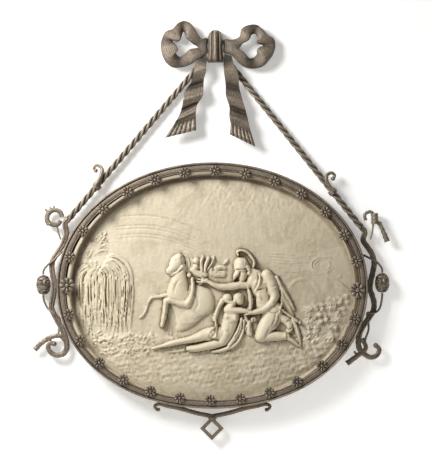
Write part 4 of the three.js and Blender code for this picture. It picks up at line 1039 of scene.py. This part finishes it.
# cut or raised lines: the route, the width and how far it rises
carvedLines = {
    "horse": [
        ([(-72, 48), (-69, 48.5), (-67, 47)], 2.3, -2.2), ([(-85, 27.5), (-83, 26.5)], 2.3, -2),
        ([(-87.5, 22), (-81, 20.5), (-75, 23)], 1.8, -2.6), ([(-55.5, 32.5), (-59.5, 29.5), (-65.5, 24)], 2.6, -2),
        ([(-61, 58), (-58, 48), (-58.5, 39)], 2.3, -1.4), ([(-48.5, 19.5), (-46.5, 6.5), (-47, -14)], 3.1, -3),
        ([(-81, -32), (-71.5, -40), (-58.5, -45.5)], 2.1, -1.2),
        ([(-63.5, 11.5), (-71.5, -1), (-74, -16.5)], 4.1, -1.6),
        ([(-35, -14), (-27.5, -32), (-35, -52.5)], 4.1, -1.4),
        ([(-40.5, -55.5), (-27.5, -58), (-14.5, -55.5)], 2.6, 0.9),
        ([(-45.5, -63), (-32.5, -66), (-22.5, -63.5)], 2.6, -1), ([(-61, -71), (-48, -73.5), (-38, -71)], 2.6, 0.9)],
    "mane": [
        ([(-59.5, 60.5), (-49.5, 55.5), (-45, 45.5), (-46, 32.5)], 2.3, 2.6),
        ([(-56, 54.5), (-49.5, 46.5), (-49.5, 32.5), (-45.5, 22)], 2.3, 2.4),
        ([(-58.5, 63.5), (-45.5, 60.5), (-39, 51.5), (-39, 40)], 2.1, 2),
        ([(-52.5, 41.5), (-50.5, 30), (-46.5, 19.5)], 2.1, 2)],
    "attendant": [
        ([(-15.5, 53.5), (-17.5, 41.5), (-16.5, 27)], 2.1, -3.4), ([(-3.5, 50.5), (-8, 39), (-11.5, 29.5)], 1.8, -3),
        ([(5, 51), (-0.5, 39.5), (-8, 27.5)], 2.1, -3.2), ([(-26, 50.5), (-24.5, 40), (-25.5, 30)], 2.1, -3),
        ([(-36, 41.5), (-32.5, 41), (-28, 42)], 1.8, -2.4),
        ([(6, 36), (12.5, 29.5), (19, 32.5), (24.5, 29.5)], 1.8, -2),
        ([(2, 19.5), (11, 24.5), (26.5, 19.5)], 2.1, -1.6),
        ([(32, 58), (37.5, 59), (41, 55), (39, 49.5), (34, 48.5), (31, 52.5), (32.5, 57.5)], 2.3, 4)],
    "woman": [
        ([(41, -14.5), (39, -24), (41.5, -34)], 2.3, -4), ([(47, -13.5), (49.5, -16), (53, -15.5)], 2.3, -3.2),
        ([(61.5, -20.5), (60.5, -30), (56.5, -36)], 2.6, -2.6),
        ([(21.5, -23), (29.5, -19.5), (35.5, -22.5)], 1.8, -1.4),
        ([(23, -29.5), (29.5, -27.5), (35, -30)], 1.8, -1.4), ([(45, -23), (51, -19.5), (57.5, -22.5)], 1.8, 1.2),
        ([(27.5, -87), (28.5, -88.5)], 2.3, -3.4), ([(32, -71), (33.5, -83.5), (32, -94)], 3.1, -0.9),
        ([(23.5, -55.5), (32, -56), (42, -55)], 2.1, -1.6), ([(32, -72), (41, -73.5), (49.5, -68)], 2.3, -1.6),
        ([(16.5, -109.5), (6, -105.5), (-4, -104)], 2.6, -3), ([(20.5, -71), (16.5, -83.5), (13.5, -99)], 2.1, -1.2),
        ([(-9.5, -105.5), (-25, -111), (-45.5, -114)], 2.3, -4),
        ([(-49.5, -120.5), (-52.5, -124.5), (-50.5, -128)], 2.3, -4),
        ([(-104.5, -116.5), (-110, -119.5), (-114, -123)], 1.5, -1),
        ([(55, -73.5), (51, -89), (42, -104.5)], 1.8, -3.4),
        ([(59.5, -72), (57, -90), (49, -107), (37, -119.5)], 1.8, -3.2),
        ([(65.5, -65.5), (67.5, -81), (66, -95.5)], 1.8, -2.2), ([(4, -72), (5.5, -86), (3.5, -99)], 1.5, -3),
        ([(-3, -90), (1, -95.5), (-1, -100.5)], 1.8, -3.4), ([(-7.5, -95.5), (-4, -101.5), (2, -104.5)], 1.8, -3.2),
        ([(9, -73.5), (10.5, -86), (9.5, -101.5)], 1.5, -2.6), ([(10, -36), (5.5, -52.5), (1, -68)], 1.5, -2),
        ([(16.5, -33.5), (12, -47.5), (7.5, -63)], 1.5, -2)],
    "warrior": [
        ([(92, 26.5), (92.5, 11.5), (89, -1.5), (81.5, -14.5)], 2.3, 2.6),
        ([(88, 26), (88.5, 11.5), (84.5, -1), (78.5, -11.5)], 1.8, -2.6),
        ([(96.5, 23.5), (97, 10.5), (93, -2.5)], 1.5, -1.8), ([(84.5, -9.5), (92.5, -7.5), (102, -6)], 2.3, -2.6),
        ([(84.5, -16.5), (94, -15.5), (100, -16.5)], 2.1, -1.5),
        ([(84.5, -25.5), (92.5, -26.5), (99.5, -28.5)], 2.1, -1.5),
        ([(84.5, -34.5), (92.5, -36), (99, -37)], 2.1, -1.3), ([(103, 9), (105.5, -5), (107, -16.5)], 2.6, -2.6),
        ([(109, -0.5), (117, -2), (127, 1)], 1.8, -1.8), ([(109.5, -4), (117.5, -6), (127.5, -2.5)], 1.8, 1.2),
        ([(106.5, -16.5), (110.5, -24.5), (108, -32)], 2.6, -1.6),
        ([(130.5, -5), (131.5, -19), (129.5, -34.5)], 3.6, -4.5), ([(109, -50), (119.5, -54), (130, -50)], 2.3, -2),
        ([(122, -50), (121, -63), (114.5, -78.5)], 2.3, -1.8),
        ([(129.5, -55.5), (127, -68), (119.5, -81)], 2.3, -2.6),
        ([(112, -89), (122, -87.5), (137, -89.5)], 2.3, -4.5),
        ([(143, -92.5), (144.5, -99), (143, -106)], 1.5, -2.4),
        ([(137.5, -91.5), (138, -99), (137, -106.5)], 1.5, -2),
        ([(148, -107), (158, -116), (167.5, -121.5)], 2.3, -3.4),
        ([(141.5, -81), (148, -85.5), (154.5, -81)], 2.3, -3.4),
        ([(143, -72), (148, -68), (153.5, -71.5)], 2.1, -2.6),
        ([(160, -74.5), (162.5, -91.5), (166.5, -107)], 1.5, -2.4),
        ([(155, -73.5), (157, -83.5), (155.5, -94)], 1.8, -2.6),
        ([(82.5, -16.5), (83.5, -32), (83, -47.5)], 2.6, -4.5), ([(78, -72), (80.5, -68), (78.5, -63.5)], 2.3, -4),
        ([(66, -78.5), (67, -86), (68.5, -92.5)], 1.5, -2),
        ([(112.5, -81), (105.5, -91.5), (104, -101.5)], 3.1, -1.3),
        ([(148, -24.5), (153, -37), (158, -51.5)], 1.5, -2.4),
        ([(136.5, -16.5), (142, -29.5), (149, -43.5)], 1.5, -2.6),
        ([(131, 6.5), (140, -9), (149, -24.5)], 1.5, -2.2)],
    "helmet": [
        ([(40.5, 28.5), (50, 30.5), (60, 31), (70.5, 34)], 2.1, -3),
        ([(41.5, 32.5), (51, 34.5), (61.5, 35), (69.5, 37.5)], 1.5, 1.2),
        ([(54, 27.5), (51.5, 19.5), (47, 11)], 2.3, -4.5), ([(49.5, 53), (48.5, 44), (50, 35)], 1.5, -1.2),
        ([(57.5, 54.5), (60.5, 45.5), (60.5, 35.5)], 1.5, -1.2), ([(42.5, 44), (45, 39), (44, 33.5)], 1.5, -1),
        ([(65.5, 49), (68.5, 42.5), (68.5, 37)], 1.5, -1.2),
        ([(53.5, 63), (61.5, 60), (70, 52.5), (74.5, 41.5)], 2.3, -5),
        ([(55, 14.5), (57.5, 14), (60.5, 15)], 1.5, -1.2)],
}


# the figures from the back to the front: the parts in one row melt into one another, each with its own blend
figures = [
    [(horse["farLeg"], 0.6), (horse["barrel"], 5), (horse["neck"], 4)], [(attendant["forms"], 0.8)],
    [(horse["head"], 2.5), (horse["ears"], 0.8)], [(horse["raisedLeg"], 1)], [(horse["nearLeg"], 1)],
    [(warrior["cloak"], 0.7), (warrior["farLeg"], 1.2)], [(warrior["torso"], 3.5), (warrior["head"], 1.5)],
    [(warrior["shin"], 1.6)], [(warrior["thigh"], 3)], [(woman["drapery"], 0.6)], [(woman["hair"], 0.8)],
    [(woman["legTwo"], 1.6)], [(woman["legOne"], 1.6)], [(woman["torso"], 3.2)],
    [(woman["head"], 1), (woman["sash"], 0.6)], [(warrior["crest"], 0.6), (warrior["helmet"], 1.2)],
    [(warrior["gear"], 0.6), (warrior["stretchedArm"], 1), (woman["farArm"], 2)],
    [(warrior["upperArm"], 2), (warrior["forearm"], 1.2)],
]


def carveFigures(carving):
    relief = layerOf(carving)
    for parts in figures:
        layer = layerOf(carving)
        for rows, blend in parts:
            for row in rows:
                form(carving, layer, row, blend)
        relief = np.maximum(relief, layer)
    for rows in carvedLines.values():
        strokes(carving, relief, rows, slab["cut"], 0)
    strokes(carving, carving.height, carvedLines["mane"])
    carving.height = melt(carving.height, relief, 1.5)


def spotAt(x, z, reach, turn):
    return x + reach * math.cos(turn), z + reach * math.sin(turn)


land = {"bank": -96, "strip": -106, "ledges": -112, "worn": -200, "ledgePitch": 13, "bandHalf": 235}


# far ground: a low bank of leaves and earth with a rough upper edge, rough stone ledges under it, a worn foot
def carveBank(carving):
    x, z = carving.x, carving.z
    bank = land["bank"] + 5 * np.sin(x / 31) + 3 * ripples(x, z * 0, 26, 3)
    depth = np.clip((bank - z) / 6, 0, 1)
    carving.height += 1.2 * depth
    strip = np.exp(-((z - land["strip"]) / 9) ** 2) * (np.abs(x) < land["bandHalf"])
    carving.height += strip * (1.3 + 1.1 * ripples(x, z, 9, 5) * (np.abs(x + 20) > 105))
    lower = np.clip((land["ledges"] - z) / 10, 0, 1)
    worn = np.clip((z - land["worn"] + 0.04 * x) / 14, 0.25, 1)
    level = z + 0.03 * x + 5 * ripples(x, z * 0.4, 110, 7)
    ledges = np.abs(np.sin(level / land["ledgePitch"] * math.pi)) ** 0.6 * (0.6 + 0.4 * ripples(x, z, 60, 8))
    stones = ripples(x * 0.55, z, 12, 9) + 0.7 * ripples(x, z, 6, 10)
    carving.height += lower * worn * (0.9 * ledges + 0.55 * stones)


willow = {"stem": -224, "firstFoot": -270, "footSpread": 116, "strands": 48, "leaves": 110}


# weeping willow at the left edge: strands that rise from the crown, bend over and hang, and small loose leaves
def carveWillow(carving, random):
    x, z, stem = carving.x, carving.z, willow["stem"]
    mound = np.clip(1 - ((x + 214) / 58) ** 2 - ((z + 8) / 72) ** 2, 0, 1)
    carving.height += 1.2 * np.sqrt(mound)
    layer = layerOf(carving)
    for i in range(willow["strands"]):
        foot = willow["firstFoot"] + willow["footSpread"] * (i + 0.5) / willow["strands"] + random.uniform(-1.5, 1.5)
        spread = (foot - stem) / 67
        top = 24 + 32 * abs(spread) ** 1.3 * (1 if spread > 0 else 0.6) + random.uniform(-5, 5)
        peak = stem + (foot - stem) * (0.45 + 0.1 * random.random())
        low = -72 - 28 * random.random()
        proud = random.uniform(2, 5.4)
        sway = random.uniform(-3, 3)
        form(carving, layer, [
            (stem + 4 * spread, 20, 1.2, 1), (peak - 8 * spread, top - 4, 2.1, proud * 0.8), (peak, top, 2.3, proud),
            (peak + (foot - peak) * 0.8, top - 16 * abs(spread) - 3, 2.1, proud),
            (foot + sway, (top + low) / 2 + 12, 1.8, proud), (foot - sway, low + 24, 1.6, proud * 0.8),
            (foot + random.uniform(-4, 4), low, 0.9, 0.5)], 0.15)
    for i in range(willow["leaves"]):
        share = i / willow["leaves"]
        if i % 2:
            cx, cz = random.uniform(-272, -214), random.uniform(4, 46)
        else:
            cx, cz = -248 + 38 * share + random.uniform(-7, 7), 58 + 40 * share + random.uniform(-8, 8)
        leaf = [(cx, cz, 1.8, random.uniform(2, 4.4)),
                (cx + random.uniform(-6, 6), cz - random.uniform(4, 9), 1, 0.8)]
        form(carving, layer, leaf, 0.2)
    carving.height += np.maximum(layer, 0)


palm = {"stem": -228, "root": 58, "leaves": 9, "first": 8, "step": 19}


# feathered palm leaves behind the willow's top
def carvePalm(carving, random):
    stem = palm["stem"]
    for i in range(palm["leaves"]):
        turn = math.radians(palm["first"] + i * palm["step"])
        reach = random.uniform(0.85, 1.1)
        c, s = math.cos(turn), math.sin(turn)
        rib = [(stem, palm["root"], 1.6, 1.4), (stem + 13 * c, 64 + 22 * s * reach, 2.4, 3),
               (stem + 24 * c * reach, 62 + 36 * s * reach, 1, 1)]
        form(carving, carving.height, rib, 0.3)
        for k in range(5):
            share = 0.25 + 0.15 * k
            cx, cz = stem + 24 * share * c * reach, 60 + 38 * share * s * reach
            for side in (-1, 1):
                tip = spotAt(cx, cz, 7, turn + side * 0.9)
                form(carving, carving.height, [(cx, cz, 1.1, 2.4), tip + (0.7, 1)], 0.2)


bushes = {"count": 190, "left": (-250, -112), "feet": (-90, 40), "levels": (-132, -92), "stars": 40}


def hillLine(x):
    return -40 + 23 * (x - 181) / 75


# bushes along the bank, a low one at the feet, and at the right an uneven slope with star-shaped leaves
def carveBushes(carving, random):
    x, z = carving.x, carving.z
    layer = layerOf(carving)
    for i in range(bushes["count"]):
        cx = random.uniform(*bushes["left"]) if i % 6 else random.uniform(*bushes["feet"])
        cz = random.uniform(*bushes["levels"])
        turn, size = random.uniform(0.2, 2.9), random.uniform(4, 8)
        form(carving, layer, [(cx, cz, 2, random.uniform(1.2, 3.2)), spotAt(cx, cz, size, turn) + (1, 0.8)], 0.2)
    slope = hillLine(x) + 3 * ripples(x, z * 0, 18, 13)
    hill = np.clip((slope - z) / 4, 0, 1) * np.clip((x - 150) / 40, 0, 1)
    carving.height += hill * (1.6 + 0.9 * ripples(x, z, 16, 15))
    for i in range(bushes["stars"]):
        cx = random.uniform(176, 266)
        cz = hillLine(cx) - random.uniform(2, 62)
        petals = int(random.integers(5, 8))
        size = random.uniform(4.5, 8)
        for k in range(petals):
            turn = 2 * math.pi * (k + random.random() * 0.5) / petals
            form(carving, layer, [(cx, cz, 1.5, 3), spotAt(cx, cz, size, turn) + (0.9, 1.8)], 0.2)
    carving.height += np.maximum(layer, 0)


grass = {"tufts": 46, "sides": (-205, 215), "levels": (-205, -126), "blades": 3}


# rough grass in tufts on the ground below, kept off the cove, and a fan of blades beside a foot
def carveGrass(carving, random):
    for i in range(grass["tufts"]):
        cx, cz = random.uniform(*grass["sides"]), random.uniform(*grass["levels"])
        if (cx / 262) ** 2 + (cz / 212) ** 2 > 0.9:
            continue
        for k in range(grass["blades"]):
            blade = [(cx + k, cz), (cx + k * 2.4 - 2, cz + random.uniform(3, 7))]
            stroke(carving, carving.height, blade, 2, random.uniform(0.5, 1.2), 0.3)
    for k in range(5):
        form(carving, carving.height, [(125, -120, 1.6, 2.4), (115 + k * 4, -107 + 2 * (k % 2), 0.9, 2)], 0.3)


# faint clouds: coils and arcs at the right, long soft bands at the left
sky = {"band": [(-197, 131), (-128, 135), (-71, 124.5), (-18, 103), (18, 85)], "drops": (0, 19, 25, 36, 42),
       "arcs": [(216, 39, 24 - 6 * k, 16 - 4 * k, 0.4 + k, 5.4 + k, 1.5) for k in range(3)]
       + [(176, -17, 31 - 3 * k, 30 - 3 * k, 0.2, 2.9, 1.2) for k in range(2)]
       + [(196, 54, 9, 5, 1, 5.5, 1.1), (236, 22, 14, 9, 2, 6.6, 1)]}


def carveSky(carving):
    x, z = carving.x, carving.z
    for cx, cz, wide, tall, start, end, rise in sky["arcs"]:
        route = [(cx + wide * math.cos(t), cz + tall * math.sin(t)) for t in np.linspace(start, end, 14)]
        stroke(carving, carving.height, route, 3, rise, 0.2)
    for drop in sky["drops"]:
        stroke(carving, carving.height, [(a, b - drop) for a, b in sky["band"]], 3, -1.3, 0.3)
    waves = [[(96 + k * 6 + i * 19, 60 - k * 5 + 2 * math.sin(i * 1.3 + k * 0.8) - 3 * i * (k > 3)) for i in range(5)]
             for k in range(7)]
    rays = [[(a, b), (a + 22, b - 12), (a + 42, b - 29 + 3 * k)]
            for k, a, b in ((k, 222 + 3 * k, 20 - 4 * k) for k in range(6))]
    for route in waves + rays:
        stroke(carving, carving.height, route, 2.6, 1.3, 0.3)
    rough = np.clip((z - 130) / 30, 0, 1) * np.clip((x + 60) / 60, 0, 1)
    carving.height += rough * (0.22 * ripples(x, z, 24, 35) + 0.25 * ripples(x, z, 10, 36))
    carving.height += 0.2 * ripples(x, z, 18, 31) + 0.16 * ripples(x, z, 6, 33)


def carveLandscape(carving):
    random = np.random.default_rng(21)
    carveBank(carving)
    carveWillow(carving, random)
    carvePalm(carving, random)
    carveBushes(carving, random)
    carveGrass(carving, random)
    carveSky(carving)


# three short rows of cut strokes at the foot of the slab, which spell nothing: where each starts and ends
cutRows = [(-185, -142, -164.5), (-174, -130, -170.5), (-151, -131, -179)]


def carveStrokes(carving):
    random = np.random.default_rng(55)
    for startX, endX, z in cutRows:
        x = startX
        while x < endX:
            tilt = random.uniform(-1.2, 1.2)
            stroke(carving, carving.height, [(x, z - 1.8), (x + tilt, z + 1.8)], 1.6, -0.9, 0)
            x += random.uniform(3.0, 4.6)


def slabSkin():
    across, along = slab["across"], slab["along"]
    kept = {}

    def place(u, v):
        a, b = u * 2 - 1, v * 2 - 1
        dx, dz = a * np.sqrt(1 - b * b / 2), b * np.sqrt(1 - a * a / 2)
        share, turn = np.hypot(dx, dz), np.arctan2(dz, dx)
        edge = ovalPoint(slab["halfWidth"], slab["halfHeight"], turn, 0, 0)
        x, z = edge[:, 0] * share, edge[:, 2] * share
        power = np.where(z < 0, oval["lower"], oval["upper"])
        px, pz = np.abs(x / slab["halfWidth"]), np.abs(z / slab["halfHeight"])
        level = np.maximum((px ** power + pz ** power) ** (1 / power), 1e-6)
        slope = np.hypot(px ** (power - 1) / slab["halfWidth"], pz ** (power - 1) / slab["halfHeight"])
        inset = (1 - level) / np.maximum(slope * level ** (1 - power), 1e-6)
        carving = Carving(x + slab["shift"][0], z + slab["shift"][1])
        carveLandscape(carving)
        carveFigures(carving)
        carveStrokes(carving)
        fall = np.clip((inset - slab["rimWidth"]) / slab["cove"], 0, 1)
        hollowed = slab["groundDepth"] * (1 - (1 - fall) ** 3.2)
        carved = np.clip(carving.height, -2, 17) * np.clip((inset - slab["rimWidth"] - 4) / 12, 0, 1)
        y = slab["rimFront"] + np.maximum(hollowed - carved, -0.5)
        kept["height"] = -y
        # it stands a little forward at the upper left, where its rim shows beside the iron
        lean = 0.7 * z / slab["halfHeight"] - 0.55 * x / slab["halfWidth"] + 0.25
        y = y - slab["lean"] * np.clip(lean, 0, 1)
        return np.stack([carving.x, y, carving.z], axis=-1) + ringCentre

    piece = gridSkin("marble_relief_carved", across, along, place)
    height = kept["height"].reshape(along + 1, across + 1)
    # painted shade and dust: the carving is darkened where it lies below its blurred surroundings
    shadeAndDust = np.zeros_like(height)
    for reach, weight in ((1, 0.3), (4, 0.42)):
        shadeAndDust += weight * (boxBlur(height, reach) - height) / reach
    bpy.ops.object.mode_set(mode="EDIT")
    bpy.ops.mesh.select_all(action="DESELECT")
    bpy.ops.mesh.select_non_manifold()
    bpy.ops.mesh.extrude_region_move(TRANSFORM_OT_translate={
        "value": (0, (slab["back"] - slab["rimFront"]) * mm, 0)})
    bpy.ops.mesh.edge_face_add()
    smoothSkin(75)
    return piece, np.clip(shadeAndDust.ravel(), 0, 1.2), height


def boxBlur(height, reach):
    for axis in (0, 1):
        padded = np.pad(height, [(reach + 1, reach) if k == axis else (0, 0) for k in (0, 1)], mode="edge")
        total = np.cumsum(padded, axis=axis)
        size = 2 * reach + 1
        height = (np.take(total, range(size, total.shape[axis]), axis)
                  - np.take(total, range(total.shape[axis] - size), axis)) / size
    return height


piece, shadeAndDust, height = slabSkin()
finishPiece(piece, "marble", "marble_relief", shadeAndDust)
# painted shade on the marble, multiplied in as brown by the material
paintedShade = piece.data.attributes.new("paintedShade", "FLOAT", "POINT")
points = pointsOf(piece) - ringCentre
x = (points[:, 0] - slab["shift"][0]) / slab["halfWidth"]
z = (points[:, 2] - slab["shift"][1]) / slab["halfHeight"]
level = (np.abs(x) ** slab["round"] + np.abs(z) ** slab["round"]) ** (1 / slab["round"])
proud = np.zeros(len(points))
proud[:height.size] = np.clip((height.ravel() - height.min() - 2) / 9, 0, 1)
# painted shade: darker to the right and a little towards the bottom, less on the raised carving
shadeLevels = np.clip(0.17 + 0.18 * x - 0.06 * z, 0, 0.42) * (1 - 0.85 * proud)
# painted shadow of the rim and ring in the cove, strongest at the upper left
cove = np.exp(-((level - slab["coveAt"]) / slab["coveHalf"]) ** 4)
shadeLevels = np.maximum(shadeLevels, cove * np.clip(0.44 - 0.16 * x + 0.5 * z, 0.25, 1))
# painted shade on the rim, darker towards the right
shadeLevels = np.where(level > slab["rimFrom"], np.clip(0.58 + 0.5 * x, 0.12, 0.95), shadeLevels)
paintedShade.data.foreach_set("value", shadeLevels)
print("marble carved:", len(piece.data.polygons), "faces")

# wall, floor and light, not part of the object
room = {"wall": "fbfaf8", "floor": "f3f2ef", "floorLevel": -1.35, "key": (-0.86, -0.8, 0.36), "keySize": 0.55,
        "keyPower": 25, "fill": 0.14, "wallGlow": (0.3, 0.6), "glowFrom": (1.3, 1.7), "aim": (0, 0, -0.42),
        "wallSize": 8, "wallPlace": (0, 0.0006, 2.65), "floorSize": 14}


def paleWall():
    material, tree = newMaterial("paleWallPaint")
    place = addNode(tree, "ShaderNodeNewGeometry").outputs["Position"]
    foot = (room["key"][0], 0, room["key"][2])
    away = addNode(tree, "ShaderNodeVectorMath", {"operation": "DISTANCE"}, {0: place, 1: foot})
    glow = addNode(tree, "ShaderNodeMapRange", sockets={
        "Value": away.outputs["Value"], 1: room["glowFrom"][0], 2: room["glowFrom"][1], 3: room["wallGlow"][0],
        4: room["wallGlow"][1]})
    paint = addNode(tree, "ShaderNodeBsdfPrincipled", sockets={
        "Base Color": linear(room["wall"]), "Roughness": 0.9, "Emission Color": linear(room["wall"]),
        "Emission Strength": glow.outputs[0]})
    clear = addNode(tree, "ShaderNodeBsdfTransparent")
    side = addNode(tree, "ShaderNodeNewGeometry").outputs["Backfacing"]
    mixed = addNode(tree, "ShaderNodeMixShader", sockets={0: side, 1: paint.outputs[0], 2: clear.outputs[0]})
    addNode(tree, "ShaderNodeOutputMaterial", sockets={"Surface": mixed.outputs[0]})
    return material


bpy.ops.mesh.primitive_plane_add(size=room["wallSize"], location=room["wallPlace"], rotation=(math.pi / 2, 0, 0))
wall = bpy.context.object
wall.name = "backWall"
wall.data.materials.append(paleWall())
bpy.ops.mesh.primitive_plane_add(size=room["floorSize"], location=(0, 0, room["floorLevel"]))
floor = bpy.context.object
floor.name = "floor"
floorMaterial, floorTree = newMaterial("paleFloor")
floorPaint = addNode(floorTree, "ShaderNodeBsdfPrincipled", sockets={
    "Base Color": linear(room["floor"]), "Roughness": 0.8})
addNode(floorTree, "ShaderNodeOutputMaterial", sockets={"Surface": floorPaint.outputs[0]})
floor.data.materials.append(floorMaterial)

bpy.ops.object.light_add(type="AREA", location=room["key"])
key = bpy.context.object
key.data.size = room["keySize"]
key.data.energy = room["keyPower"]
aim = np.array(room["aim"]) - np.array(room["key"])
key.rotation_euler = (math.acos(-aim[2] / np.linalg.norm(aim)), 0, math.atan2(aim[1], aim[0]) - math.pi / 2)
world = bpy.data.worlds.new("studio")
bpy.context.scene.world = world
world.use_nodes = True
world.node_tree.nodes.clear()
glow = addNode(world.node_tree, "ShaderNodeBackground", sockets={
    "Color": (1, 0.99, 0.97, 1), "Strength": room["fill"]})
addNode(world.node_tree, "ShaderNodeOutputWorld", sockets={"Surface": glow.outputs[0]})
bpy.context.scene.view_settings.view_transform = "Standard"
print("room and light made")

bpy.context.view_layer.update()
